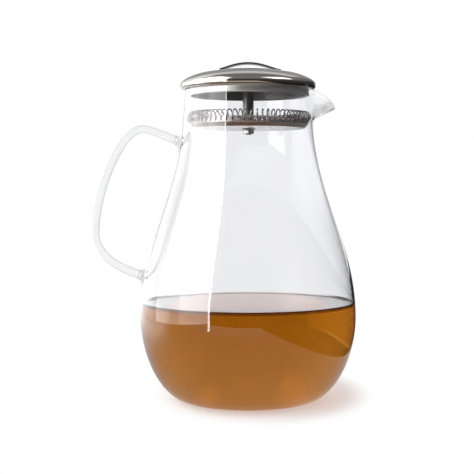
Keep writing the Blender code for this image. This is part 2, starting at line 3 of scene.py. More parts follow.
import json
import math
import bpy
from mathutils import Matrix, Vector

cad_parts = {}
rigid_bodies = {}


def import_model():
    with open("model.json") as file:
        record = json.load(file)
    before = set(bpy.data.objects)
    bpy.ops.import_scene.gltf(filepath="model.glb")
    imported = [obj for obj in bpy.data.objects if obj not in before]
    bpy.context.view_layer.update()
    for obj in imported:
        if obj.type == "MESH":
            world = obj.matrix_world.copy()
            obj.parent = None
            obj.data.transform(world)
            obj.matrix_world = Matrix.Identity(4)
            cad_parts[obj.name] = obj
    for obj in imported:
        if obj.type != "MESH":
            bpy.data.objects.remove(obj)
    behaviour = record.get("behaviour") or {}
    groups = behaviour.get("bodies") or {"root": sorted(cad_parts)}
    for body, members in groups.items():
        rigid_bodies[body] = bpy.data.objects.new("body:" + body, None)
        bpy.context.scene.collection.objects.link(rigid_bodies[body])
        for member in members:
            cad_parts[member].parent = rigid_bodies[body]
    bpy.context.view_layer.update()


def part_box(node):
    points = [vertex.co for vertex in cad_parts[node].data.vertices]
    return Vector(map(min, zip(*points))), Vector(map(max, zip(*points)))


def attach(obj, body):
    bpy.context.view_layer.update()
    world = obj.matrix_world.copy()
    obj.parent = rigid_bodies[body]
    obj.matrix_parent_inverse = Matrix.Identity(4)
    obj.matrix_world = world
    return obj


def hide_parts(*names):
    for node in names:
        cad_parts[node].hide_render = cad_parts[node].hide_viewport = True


bl_info = {
    "name": "Glass Pitcher with Filter",
    "version": (1, 0, 0),
    "blender": (4, 5, 0),
    "location": "View3D > Sidebar > Pitcher",
    "description": "Makes the glass, the drink, the steel lid, the coil strainer and the studio round them",
    "category": "Object",
}

import bmesh
import bpy
from bpy.props import FloatProperty, FloatVectorProperty, IntProperty, PointerProperty
from mathutils import Matrix, Vector
from mathutils.geometry import interpolate_bezier

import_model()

WHITE = (1.0, 1.0, 1.0, 1.0)


def heights_of(node):
    """Lowest and highest height of a CAD node at rest."""
    low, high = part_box(node)
    return low.z, high.z


# Heights, radii and gauges that the pieces share, in metres

FIT_GAP = 0.0003
LID_SHEET = 0.0007
BORE_RADIUS = 0.0028
GLASS_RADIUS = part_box("glass_body")[1].y
FLANGE_UNDERSIDE = heights_of("glass_body")[1] + FIT_GAP
PAN_UNDERSIDE = heights_of("strainer_pan")[0]
POST_BOTTOM, POST_TOP = heights_of("center_post")
SCREW_TIP, SCREW_TOP = heights_of("clamp_screw")
WASHER_BOTTOM, WASHER_TOP = heights_of("washer")
NUT_BOTTOM, NUT_TOP = heights_of("hex_nut")


def length(name, description, default):
    return FloatProperty(name=name, description=description, default=default, unit="LENGTH", precision=5)


def tint(name, description, default):
    return FloatVectorProperty(name=name, description=description, default=default, subtype="COLOR",
                               min=0.0, max=1.0)


def power(name, description, default):
    return FloatProperty(name=name, description=description, default=default, unit="POWER")


class GlassSettings(bpy.types.PropertyGroup):
    """Sizes and tint of the blown glass"""

    wall: length("Wall", "Thickness of the blown wall", 0.0015)
    rim_height: length("Rim height", "Height of the rim over the foot", 0.2157)
    mouth_radius: length("Mouth radius", "Outer radius of the rim", 0.04365)
    neck_height: length("Neck height", "Where the neck starts to swell", 0.188)
    neck_radius: length("Neck radius", "Outer radius there", 0.0458)
    belly_height: length("Belly height", "Height of the widest place", 0.0577)
    belly_radius: length("Belly radius", "Outer radius of the widest place", 0.075)
    foot_radius: length("Foot radius", "Radius of the flat foot", 0.042)
    spout_depth: length("Spout depth", "Height of the wall that the spout is pulled from", 0.0233)
    spout_lean: FloatProperty(name="Spout lean", description="How far the spout leans out",
                              default=math.radians(66), subtype="ANGLE")
    clear: tint("Clear", "Colour of the glass seen square on", (0.968, 0.974, 0.990))
    # Partly the glass's own grey along a longer path, partly painted shade: this edge colour stands in for
    # the dark room that the wall would mirror
    edge: tint("Edge", "Colour of the glass seen along its wall", (0.68, 0.69, 0.72))
    rod_clear: tint("Rod clear", "Colour of the handle's rod seen square on", (0.945, 0.948, 0.955))
    # Partly the rod's own grey, partly painted shade: the near-black along the rod's sides stands in for the
    # dark room that it would mirror
    rod_grey_and_painted_shade: tint("Rod edge", "Colour of the handle's rod along its sides", (0.10, 0.105, 0.12))


class DrinkSettings(bpy.types.PropertyGroup):
    """Level and colours of the drink"""

    level: length("Level", "Height of the drink's surface", 0.0678)
    meniscus: length("Meniscus", "How far the drink climbs up the glass", 0.0012)
    amber: tint("Amber", "Colour of the drink", (0.335, 0.098, 0.001))
    # Painted light: the lighter amber that the drink takes low down and at its two sides; the random haze
    # also draws on it
    painted_light_and_haze_amber: tint("Honey", "Colour where the drink is thin", (0.45, 0.165, 0.012))


class SteelSettings(bpy.types.PropertyGroup):
    """Colours and polish of the stainless steel"""

    polished: tint("Polished", "Colour of the lid's steel", (0.58, 0.57, 0.54))
    pressed: tint("Pressed", "Colour of the strainer pan's steel", (0.43, 0.385, 0.36))
    # Painted highlight: a pale steel colour for the pan's floor and the foot of its corner
    bright: tint("Bright", "Colour of the pan's smooth underside", (0.78, 0.77, 0.75))
    # Painted shade: a dark steel colour for the dome's hem, the plug's recess and the post under the lid
    painted_shade_steel: tint("Dull", "Colour of the steel under the lid", (0.19, 0.185, 0.18))
    drawn: tint("Drawn", "Colour of the wire, the strap, the screw, the washer and the nut",
                (0.46, 0.445, 0.43))
    polish: FloatProperty(name="Polish", description="Roughness of the dome and the strap", default=0.08,
                          min=0.0, max=1.0)
    coil_places: IntProperty(name="Coil places", description="Turns of the coil and one for its seam",
                             default=67, min=12, max=120)


class StudioSettings(bpy.types.PropertyGroup):
    """Power of the lamps and colour of the floor"""

    window: power("Window", "Power of the window at the left, for its full width", 9.6)
    fill: power("Fill", "Power of the lamp at the right", 2.0)
    overhead: power("Overhead", "Power of the lamp behind and above", 0.6)
    floor: tint("Floor", "Colour of the floor", (0.87, 0.87, 0.87))


class Sheet:
    """A node tree that is being drawn."""

    def __init__(self, tree):
        tree.nodes.clear()
        self.tree = tree

    def node(self, kind, settings=None, values=None, output=0):
        """Adds a node: first its settings, then its sockets' values or links."""
        node = self.tree.nodes.new(kind)
        for name, value in (settings or {}).items():
            setattr(node, name, value)
        for key, value in (values or {}).items():
            if isinstance(value, Port):
                self.tree.links.new(value.socket, node.inputs[key])
            else:
                node.inputs[key].default_value = value
        if not node.outputs:
            return None
        return Port(self, node.outputs[output])


class Port:
    """A node's output, on which Python's operators add Math nodes."""

    def __init__(self, sheet, socket):
        self.sheet = sheet
        self.socket = socket

    def math(self, operation, *others):
        values = dict(enumerate((self, *others)))
        return self.sheet.node("ShaderNodeMath", {"operation": operation}, values)

    def __add__(self, other):
        return self.math("ADD", other)

    __radd__ = __add__

    def __mul__(self, other):
        return self.math("MULTIPLY", other)

    __rmul__ = __mul__

    def __sub__(self, other):
        return self.math("SUBTRACT", other)

    def __rsub__(self, other):
        return self * -1 + other

    def __truediv__(self, other):
        return self.math("DIVIDE", other)

    def __pow__(self, other):
        return self.math("POWER", other)

    def __lt__(self, other):
        return self.math("LESS_THAN", other)

    def __gt__(self, other):
        return self.math("GREATER_THAN", other)

    def step(self, low, high):
        """0 below low, 1 above high and smooth between them."""
        return self.sheet.node("ShaderNodeMapRange", {"interpolation_type": "SMOOTHSTEP"},
                               {0: self, 1: low, 2: high})

    def blend(self, first, second):
        """The first colour where this port is 0, the second where it is 1."""
        return self.sheet.node("ShaderNodeMix", {"data_type": "RGBA"}, {0: self, 6: first, 7: second}, 2)


def root_of_squares(first, second):
    """The length of the side across two sides at right angles."""
    return (first * first + second * second) ** 0.5


def opaque(colour, share=1.0):
    """A colour, or a share of its light, with no see-through."""
    return (*[part * share for part in colour], 1.0)


def new_finish(name):
    """A material and the sheet that its nodes are drawn on."""
    finish = bpy.data.materials.new(name)
    finish.use_nodes = True
    return finish, Sheet(finish.node_tree)


def parts_of(sheet, vector):
    """The x, y and z of a vector."""
    return [sheet.node("ShaderNodeSeparateXYZ", {}, {0: vector}, index) for index in range(3)]


def object_axes(sheet):
    """The place on the object, and its x, y and z."""
    place = sheet.node("ShaderNodeTexCoord", output=3)
    return (place, *parts_of(sheet, place))


def noise(sheet, place, scale, detail, stretch=(1.0, 1.0, 1.0)):
    """Even noise from 0 to 1, drawn out along the axes that stretch names with a small number."""
    scaled = sheet.node("ShaderNodeVectorMath", {"operation": "MULTIPLY"}, {0: place, 1: stretch})
    return sheet.node("ShaderNodeTexNoise", {}, {"Vector": scaled, "Scale": scale, "Detail": detail})


def bump(sheet, height, strength, distance):
    return sheet.node("ShaderNodeBump", {}, {"Height": height, "Strength": strength, "Distance": distance})


# Finishes. A pair gives the values between which a smooth step rises, in metres unless it says otherwise

GLASS_IOR = 1.47
GLASS_SHADE = (0.96, 0.965, 0.97)
GLASS_WAVES = {"scale": 26.0, "detail": 2.0, "stretch": (1.0, 1.0, 0.35)}
GLASS_WAVE_HEIGHT = 0.0006
MELT_POWER = 1.5

TEA_IOR = 1.33
TEA_SHADE = (0.952, 0.865, 0.862)
TEA_HAZE = {"scale": 14.0, "detail": 3.0}
TEA_HAZE_SHARE = 0.10
# Painted light: the drink is lighter low down, more so towards the spout, and at its left and right sides
TEA_LOW = (0.0, 0.062)
TEA_SPOUT_SIDE = (-0.01, 0.07)
TEA_LOW_SHARES = (0.55, 0.45)
TEA_LEFT = (-0.065, -0.015)
TEA_RIGHT = (0.02, 0.065)
TEA_RIGHT_SHARE = 0.8
# Painted shade and painted light at the meniscus: a dark line where the drink climbs the near glass, a white
# one where it climbs the far glass
TEA_BACK = (-0.02, 0.02)
TEA_RIM_BELOW_LEVEL = (0.0015, 0.0007)
TEA_RIM_INSIDE_GLASS = (0.0085, 0.004)
TEA_PAINTED_RIM_SHADE = (0.08, 0.018, 0.002)

STEEL_GRAIN_HEIGHT = 0.0001
TURNED_SMEARS = {"scale": 60.0, "detail": 4.0}
TURNED_RING_DETAIL = 3.0
TURNED_RING_SLOPE = 0.8
TURNED_ROUGHER = {"smears": 0.5, "rings": 0.35}
TURNED_DARKER = {"smears": 0.35, "rings": 0.25}
TURNED_WORN = 0.86
BRUSHED_GRAIN = {"scale": 3600.0, "detail": 2.0}
BRUSHED_SMEARS = {"scale": 90.0, "detail": 3.0}
BRUSHED_ROUGHER = {"smears": 0.4, "grain": 0.5}
BRUSHED_DARKER = {"smears": 0.3, "grain": 0.4}
BRUSHED_WORN = 0.8


def clear_stuff(sheet, colour, ior, **more):
    """The surface of something that light passes through."""
    return sheet.node("ShaderNodeBsdfPrincipled", {}, {
        "Base Color": colour,
        "Roughness": 0.0,
        "IOR": ior,
        "Transmission Weight": 1.0,
        **more,
    })


def output_clear(sheet, surface, shade):
    """Lets lamps shine through the surface, dimmed to the shade's colour."""
    is_shadow = sheet.node("ShaderNodeLightPath", output="Is Shadow Ray")
    clear = sheet.node("ShaderNodeBsdfTransparent", {}, {"Color": opaque(shade)})
    mixed = sheet.node("ShaderNodeMixShader", {}, {0: is_shadow, 1: surface, 2: clear})
    sheet.node("ShaderNodeOutputMaterial", {}, {"Surface": mixed})


def blown_glass(name, clear, edge, fall, swirl, joined):
    """Clear borosilicate glass, with the faint waves that blowing leaves. Seen along its wall it greys
    towards its edge colour, which is partly the glass's own grey and partly painted shade.

    Its grey and its own face fade out where joined, a function of the place along the pitcher and of the
    height, is above 0.
    """
    finish, sheet = new_finish(name)
    place, along, _, height = object_axes(sheet)
    joint = joined(along, height)
    # Partly real grey, partly painted shade: the colour turns to the edge colour where the surface is seen
    # along its face
    facing = sheet.node("ShaderNodeLayerWeight", output="Facing") * (1 - joint)
    colour = (facing ** fall).blend(opaque(clear), opaque(edge))
    waves = noise(sheet, place, **GLASS_WAVES)
    blown = clear_stuff(sheet, colour, GLASS_IOR, Normal=bump(sheet, waves, swirl, GLASS_WAVE_HEIGHT))
    melted = sheet.node("ShaderNodeBsdfTransparent")
    surface = sheet.node("ShaderNodeMixShader", {}, {0: joint ** MELT_POWER, 1: blown, 2: melted})
    output_clear(sheet, surface, GLASS_SHADE)
    return finish


def brewed_tea(name, drink):
    """Clear amber tea over a random haze, with painted light making it lighter low down and at its two sides,
    a painted dark line where it climbs the near glass and a painted pale line where it climbs the far glass.
    """
    finish, sheet = new_finish(name)
    place, along, across, height = object_axes(sheet)
    # Painted light: lighter low down, more so towards the spout, and at the two sides; the haze added to it
    # is random
    low = 1 - height.step(*TEA_LOW)
    low = low * (along.step(*TEA_SPOUT_SIDE) * TEA_LOW_SHARES[1] + TEA_LOW_SHARES[0])
    sides = 1 - along.step(*TEA_LEFT) + along.step(*TEA_RIGHT) * TEA_RIGHT_SHARE
    thin = low + noise(sheet, place, **TEA_HAZE) * TEA_HAZE_SHARE + sides
    colour = thin.blend(opaque(drink.amber), opaque(drink.painted_light_and_haze_amber))
    # Painted shade at the near meniscus, painted light at the far one
    top = height.step(*[drink.level - depth for depth in TEA_RIM_BELOW_LEVEL])
    wall_side = root_of_squares(along, across).step(*[GLASS_RADIUS - depth for depth in TEA_RIM_INSIDE_GLASS])
    painted_rim_line = across.step(*TEA_BACK).blend(opaque(TEA_PAINTED_RIM_SHADE), WHITE)
    colour = (top * wall_side).blend(colour, painted_rim_line)
    output_clear(sheet, clear_stuff(sheet, colour, TEA_IOR), TEA_SHADE)
    return finish


def output_steel(sheet, tone, roughness, grain, depth, graze):
    """Ends a steel's nodes. With graze below 1 it mirrors less where it is seen along its face."""
    surface = sheet.node("ShaderNodeBsdfPrincipled", {}, {
        "Base Color": tone,
        "Metallic": 1.0,
        "Roughness": roughness,
        "Specular Tint": opaque(WHITE[:3], graze),
        "Normal": bump(sheet, grain, depth, STEEL_GRAIN_HEIGHT),
    })
    sheet.node("ShaderNodeOutputMaterial", {}, {"Surface": surface})


def turned_steel(name, colour, roughness, lines, depth, painted_light_patch=None, graze=1.0):
    """Stainless steel polished on a spindle: rings as fine as hair, and soft smears.

    A painted-light patch is "radius" or "height", a limit, and the colour painted on the steel that lies
    below the limit: painted shade or a painted highlight.
    """
    finish, sheet = new_finish(name)
    place, along, across, height = object_axes(sheet)
    radius = root_of_squares(along, across)
    rings = sheet.node("ShaderNodeTexNoise", {"noise_dimensions": "1D"}, {
        "W": radius + height * TURNED_RING_SLOPE,
        "Scale": lines,
        "Detail": TURNED_RING_DETAIL,
    })
    smears = noise(sheet, place, **TURNED_SMEARS)
    by_smears, by_rings = [roughness * TURNED_ROUGHER[mark] for mark in ("smears", "rings")]
    rough = roughness + smears * by_smears + rings * by_rings
    worn = smears * TURNED_DARKER["smears"] + rings * TURNED_DARKER["rings"]
    tone = worn.blend(opaque(colour), opaque(colour, TURNED_WORN))
    # Painted light: below the limit the steel takes the patch's painted shade or painted highlight
    if painted_light_patch:
        measure, limit, painted_light_colour = painted_light_patch
        below = {"radius": radius, "height": height}[measure] < limit
        tone = below.blend(tone, opaque(painted_light_colour))
    output_steel(sheet, tone, rough, rings, depth, graze)
    return finish


def brushed_steel(name, colour, roughness, stretch, depth, graze=1.0):
    """Stainless steel with its grain drawn out along one axis, and soft smears."""
    finish, sheet = new_finish(name)
    place = object_axes(sheet)[0]
    grain = noise(sheet, place, **BRUSHED_GRAIN, stretch=stretch)
    smears = noise(sheet, place, **BRUSHED_SMEARS)
    by_smears, by_grain = [roughness * BRUSHED_ROUGHER[mark] for mark in ("smears", "grain")]
    rough = roughness + smears * by_smears + grain * by_grain
    worn = grain * BRUSHED_DARKER["grain"] + smears * BRUSHED_DARKER["smears"]
    tone = worn.blend(opaque(colour), opaque(colour, BRUSHED_WORN))
    output_steel(sheet, tone, rough, grain, depth, graze)
    return finish


# Shapes

AXIS_RADIUS = 1e-6
MOST_ROUNDED = 0.49


def new_object(name, data):
    """A new object in the scene that shows the data."""
    thing = bpy.data.objects.new(name, data)
    bpy.context.scene.collection.objects.link(thing)
    return thing


def polar(radius, angle, height):
    return Vector((radius * math.cos(angle), radius * math.sin(angle), height))


def ring_of(radius, height, steps):
    """A level ring of points round the axis, or one point on it."""
    if radius < AXIS_RADIUS:
        return [Vector((0.0, 0.0, height))]
    return [polar(radius, math.tau * index / steps, height) for index in range(steps)]


def skin(name, rings, loop=False, sharp=None):
    """A closed mesh over rings that run up its outer side. A loop joins its last ring to its first."""
    shape = bmesh.new()
    rows = [[shape.verts.new(point) for point in ring] for ring in rings]
    if loop:
        rows.append(rows[0])
    for lower, upper in zip(rows, rows[1:]):
        for index in range(max(len(lower), len(upper))):
            corners = [
                lower[index % len(lower)],
                lower[(index + 1) % len(lower)],
                upper[(index + 1) % len(upper)],
                upper[index % len(upper)],
            ]
            shape.faces.new(list(dict.fromkeys(corners)))
    mesh = bpy.data.meshes.new(name)
    shape.to_mesh(mesh)
    shape.free()
    mesh.shade_smooth()
    if sharp:
        mesh.set_sharp_from_angle(angle=sharp)
    return new_object(name, mesh)


def swept(name, rings, sharp=None):
    """A bar over rings along its length, closed at its two ends."""
    first, last = [[sum(ring, Vector()) / len(ring)] for ring in (rings[0], rings[-1])]
    return skin(name, [first, *rings, last], sharp=sharp)


def turned(name, section, steps, loop=False, sharp=None):
    """A piece turned round the axis from (radius, height) points that run up its outer side."""
    return skin(name, [ring_of(radius, height, steps) for radius, height in section], loop, sharp)


def curve_through(start, start_handle, end_handle, end, count):
    """Points along a cubic curve in (radius, height), without its first point."""
    corners = [Vector((radius, 0.0, height)) for radius, height in (start, start_handle, end_handle, end)]
    return [(point.x, point.z) for point in interpolate_bezier(*corners, count + 1)[1:]]


def eased(corners, steps=4, loop=False):
    """Rounds the corners of a (radius, height, rounding) line, each over less than half of its sides."""
    points = []
    for index, (radius, height, rounding) in enumerate(corners):
        here = Vector((radius, height))
        inner = loop or 0 < index < len(corners) - 1
        if not rounding or not inner:
            points.append((radius, height))
            continue
        before = Vector(corners[index - 1][:2]) - here
        after = Vector(corners[(index + 1) % len(corners)][:2]) - here
        half = before.angle(after) / 2
        room = min(before.length, after.length) * MOST_ROUNDED
        run = min(rounding / math.tan(half), room)
        start = here + before.normalized() * run
        end = here + after.normalized() * run
        for step in range(steps + 1):
            share = step / steps
            point = start * (1 - share) ** 2 + here * 2 * share * (1 - share) + end * share ** 2
            points.append((point.x, point.y))
    return points


def side_of(points, index):
    """The unit vector to the left of a (radius, height) line at one of its points."""
    along = points[min(index + 1, len(points) - 1)] - points[max(index - 1, 0)]
    return Vector((-along.y, along.x)).normalized()


def sheet_section(face, thickness, base, steps=4):
    """The closed section of a sheet, which lies to the right of its face's line, over a base height.

    Its edges are round where it ends off the axis.
    """
    points = [Vector(point) for point in reversed(face)]
    sides = [side_of(points, index) for index in range(len(points))]
    half = thickness / 2
    middle = [(point + side * half, side) for point, side in zip(points, sides)]
    section = []
    for turn, order in ((1, middle), (-1, middle[::-1])):
        section += [point - side * half * turn for point, side in order]
        last, side = order[-1]
        if last.x > AXIS_RADIUS:
            lead = Vector((side.y, -side.x)) * turn
            for step in range(1, steps):
                angle = math.pi * step / steps
                section.append(last + (lead * math.sin(angle) - side * turn * math.cos(angle)) * half)
    if points[-1].x < AXIS_RADIUS:
        section = section[len(points):] + section[:len(points)]
    return [(max(point.x, 0.0), point.y + base) for point in section]


def dress(piece, finish, body, slot, *nodes):
    """Gives a piece its finish, hides the solids that it stands for and sets it on the body that carries it.
    """
    piece.data.materials.clear()
    piece.data.materials.append(finish)
    if nodes:
        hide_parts(*nodes)
    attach(piece, body)


def grow(piece, tree, values):
    """Runs a node tree on a piece and leaves the plain mesh that it makes."""
    modifier = piece.modifiers.new(tree.name, "NODES")
    modifier.node_group = tree
    sockets = {item.name: item.identifier for item in tree.interface.items_tree if item.in_out == "INPUT"}
    for name, value in values.items():
        modifier[sockets[name]] = value
    graph = bpy.context.evaluated_depsgraph_get()
    mesh = bpy.data.meshes.new_from_object(piece.evaluated_get(graph), depsgraph=graph)
    piece.modifiers.remove(modifier)
    piece.data = mesh


def new_tree(name, inputs):
    """A geometry node tree, its sheet and its inputs by name. Whole defaults make whole inputs."""
    tree = bpy.data.node_groups.new(name, "GeometryNodeTree")
    tree.interface.new_socket("Geometry", in_out="INPUT", socket_type="NodeSocketGeometry")
    for label, default in inputs.items():
        kind = "NodeSocketInt" if isinstance(default, int) else "NodeSocketFloat"
        tree.interface.new_socket(label, in_out="INPUT", socket_type=kind).default_value = default
    tree.interface.new_socket("Finish", in_out="INPUT", socket_type="NodeSocketMaterial")
    tree.interface.new_socket("Geometry", in_out="OUTPUT", socket_type="NodeSocketGeometry")
    sheet = Sheet(tree)
    first = sheet.node("NodeGroupInput")
    ports = {socket.name: Port(sheet, socket) for socket in first.socket.node.outputs if socket.name}
    return tree, sheet, ports


def close_tree(sheet, geometry, finish):
    """Ends a tree in plain geometry with its finish."""
    plain = sheet.node("GeometryNodeRealizeInstances", {}, {"Geometry": geometry})
    painted = sheet.node("GeometryNodeSetMaterial", {}, {"Geometry": plain, "Material": finish})
    sheet.node("NodeGroupOutput", {}, {0: painted})


# Blown glass

GLASS_STEPS = 192
FOOT_SHARES = (0.0, 0.25, 0.5, 0.7, 0.85)
BOWL_ROWS = 44
SHOULDER_ROWS = 48
NECK_ROWS = 30
LIP_STEPS = 8
FOOT_PULL = 0.545
BOWL_PULL = 0.52
BELLY_PULL = 0.368
NECK_PULL = 0.353
SPOUT_BEND = 0.005
SPOUT_HALF_ANGLE = math.radians(36)
SPOUT_SHRINK = 0.12
SPOUT_FLANK = 2.6
SPOUT_SLICES = 24
SPOUT_FADE_RADII = (-0.0022, 0.0006)
SPOUT_FADE_RISE = 0.0015
SPOUT_FADE = 0.80
SPOUT_TIP = (0.050, 0.060)
SPOUT_TIP_KEPT = 0.44


def glass_outline(glass):
    """Outer (radius, height) points from the middle of the foot up to the rim."""
    taper = (glass.neck_radius - glass.mouth_radius) / (glass.rim_height - glass.neck_height)
    shoulder = glass.neck_height - glass.belly_height
    belly = (glass.belly_radius, glass.belly_height)
    neck = (glass.neck_radius, glass.neck_height)
    foot = (glass.foot_radius, 0.0)
    points = [(glass.foot_radius * share, 0.0) for share in FOOT_SHARES] + [foot]
    foot_handle = (glass.foot_radius + (glass.belly_radius - glass.foot_radius) * FOOT_PULL, 0.0)
    bowl_handle = (glass.belly_radius, glass.belly_height * BOWL_PULL)
    points += curve_through(foot, foot_handle, bowl_handle, belly, BOWL_ROWS)
    belly_handle = (glass.belly_radius, glass.belly_height + shoulder * BELLY_PULL)
    neck_handle = (glass.neck_radius + taper * shoulder * NECK_PULL, glass.neck_height - shoulder * NECK_PULL)
    points += curve_through(belly, belly_handle, neck_handle, neck, SHOULDER_ROWS)
    top = glass.rim_height - glass.wall / 2
    for row in range(1, NECK_ROWS + 1):
        height = glass.neck_height + (top - glass.neck_height) * row / NECK_ROWS
        points.append((glass.neck_radius - taper * (height - glass.neck_height), height))
    return points


def spout_offset(glass, rise, pull):
    """How far out and up the spout takes a point of the wall that starts a rise above its root."""
    out = 0.0
    up = 0.0
    piece = rise * (1 - SPOUT_SHRINK * pull * (2 - pull)) / SPOUT_SLICES
    for index in range(SPOUT_SLICES):
        bent = min(1.0, rise * (index + 0.5) / SPOUT_SLICES / SPOUT_BEND)
        lean = pull * glass.spout_lean * bent * bent * (3 - 2 * bent)
        out += math.sin(lean) * piece
        up += math.cos(lean) * piece
    return out, up


def wall_point(glass, radius, height, angle):
    """A point of the outer wall, leaned out where the spout is."""
    rise = height - (glass.rim_height - glass.spout_depth)
    side = abs((angle + math.pi) % math.tau - math.pi)
    if rise > 0 and side < SPOUT_HALF_ANGLE:
        pull = math.cos(math.pi / 2 * side / SPOUT_HALF_ANGLE) ** SPOUT_FLANK
        out, up = spout_offset(glass, rise, pull)
        radius += out
        height = glass.rim_height - glass.spout_depth + up
    return polar(radius, angle, height)


def wall_rings(glass):
    """The closed wall: outer face, fire-polished lip and inner face."""
    outline = glass_outline(glass)
    angles = [math.tau * index / GLASS_STEPS for index in range(GLASS_STEPS)]
    outer = [[wall_point(glass, radius, height, angle) for angle in angles] for radius, height in outline[1:]]
    normals = []
    last = len(outer) - 1
    for row, ring in enumerate(outer):
        above = outer[min(row + 1, last)]
        below = outer[max(row - 1, 0)]
        line = []
        for index in range(GLASS_STEPS):
            round_step = ring[(index + 1) % GLASS_STEPS] - ring[index - 1]
            line.append(round_step.cross(above[index] - below[index]).normalized())
        normals.append(line)
    half = glass.wall / 2
    lip = []
    for step in range(1, LIP_STEPS):
        angle = math.pi * step / LIP_STEPS
        ring = []
        for point, under, side in zip(outer[last], outer[last - 1], normals[last]):
            lead = (point - under).normalized()
            ring.append(point - side * half + (side * math.cos(angle) + lead * math.sin(angle)) * half)
        lip.append(ring)
    inner = []
    for ring, line in zip(outer, normals):
        inner.append([point - side * glass.wall for point, side in zip(ring, line)])
    foot, floor = [[Vector((0.0, 0.0, outline[0][1] + rise))] for rise in (0.0, glass.wall)]
    return [foot, *outer, *lip, *reversed(inner), floor]


def inner_line(glass, depth):
    """The wall's section, moved inwards by a depth."""
    outline = [Vector(point) for point in glass_outline(glass)]
    moved = [point + side_of(outline, index) * depth for index, point in enumerate(outline)]
    moved[0].x = 0.0
    return [(point.x, point.y) for point in moved]


class PITCHER_OT_glass_body(bpy.types.Operator):
    """Blow the glass body with its pulled spout"""

    bl_idname = "pitcher.glass_body"
    bl_label = "Glass Body"

    def execute(self, context):
        glass = context.scene.pitcher_glass
        body = skin("glass_body", wall_rings(glass))
        root = glass.rim_height - glass.spout_depth

        def joined(along, height):
            out = along.step(*[glass.neck_radius + off for off in SPOUT_FADE_RADII])
            spout = out * height.step(root - SPOUT_FADE_RISE, root)
            return spout * (SPOUT_FADE - along.step(*SPOUT_TIP) * SPOUT_TIP_KEPT)

        finish = blown_glass("body_glass", glass.clear, glass.edge, fall=10.0, swirl=0.10, joined=joined)
        dress(body, finish, "pitcher", "body_glass", "glass_body")
        return {"FINISHED"}


# Glass handle

HANDLE_TOP = 0.1797
HANDLE_CREST = (0.0734, 0.1885)
HANDLE_REACH = (0.1065, 0.1177)
HANDLE_BOTTOM = 0.0863
HANDLE_MIDDLE = 0.133
HANDLE_TOP_SLOPE = math.radians(18)
HANDLE_BOTTOM_SLOPE = math.radians(15)
HANDLE_PULLS = (0.33, 0.20, 0.49, 0.33, 0.58, 0.52)
HANDLE_ROWS = (80, 90, 80)
HANDLE_MIDDLE_HALF = 0.0025
HANDLE_END_HALF = 0.00315
HANDLE_FLATTENING = 1.56
HANDLE_FLARE_HALF = 0.0073
HANDLE_FLARE_RUN = 0.0060
HANDLE_FLARE_POWER = 2.6
HANDLE_SIDES = 40
ROOT_DEPTH = -0.00003
ROOT_SLIDES = 12
ROOT_FADE_RUN = 0.008
ROOT_FADE = 0.9


def outline_radius(outline, height):
    """The outline's radius at a height, or its last radius over its end."""
    for (low_radius, low), (high_radius, high) in zip(outline, outline[1:]):
        if low <= height <= high and high > low:
            return low_radius + (high_radius - low_radius) * (height - low) / (high - low)
    return outline[-1][0]


def handle_route(outline):
    """The rod's centre line from the neck to the belly."""
    leave, crest_in, crest_out, reach_up, reach_down, arrive = HANDLE_PULLS
    top = (outline_radius(outline, HANDLE_TOP), HANDLE_TOP)
    bottom = (outline_radius(outline, HANDLE_BOTTOM), HANDLE_BOTTOM)
    crest, crest_height = HANDLE_CREST
    reach, reach_height = HANDLE_REACH
    rise_out = crest - top[0]
    leave_run = rise_out * leave
    arrive_run = (reach - bottom[0]) * arrive
    stretches = (
        (top, (top[0] + leave_run, top[1] + leave_run * math.tan(HANDLE_TOP_SLOPE)),
         (crest - rise_out * crest_in, crest_height), HANDLE_CREST),
        (HANDLE_CREST, (crest + (reach - crest) * crest_out, crest_height),
         (reach, reach_height + (crest_height - reach_height) * reach_up), HANDLE_REACH),
        (HANDLE_REACH, (reach, reach_height - (reach_height - HANDLE_BOTTOM) * reach_down),
         (bottom[0] + arrive_run * math.cos(HANDLE_BOTTOM_SLOPE),
          bottom[1] + arrive_run * math.sin(HANDLE_BOTTOM_SLOPE)), bottom),
    )
    points = [top]
    for stretch, rows in zip(stretches, HANDLE_ROWS):
        points += curve_through(*stretch, rows)
    return [Vector((-radius, 0.0, height)) for radius, height in points]


def onto_wall(point, lead, outline):
    """Slides a root's point along the rod until it lies on the wall's outer face."""
    for _ in range(ROOT_SLIDES):
        off = math.hypot(point.x, point.y) - outline_radius(outline, point.z) + ROOT_DEPTH
        point = point - lead * off
    return point


def keep_light_off(piece, lamp_names):
    """Keeps the light of the lamps whose names begin so off one piece."""
    group = bpy.data.collections.new(f"{lamp_names}_light")
    group.objects.link(piece)
    group.collection_objects[0].light_linking.link_state = "EXCLUDE"
    for light in bpy.context.scene.objects:
        if light.type == "LIGHT" and light.name.startswith(lamp_names):
            light.light_linking.receiver_collection = group


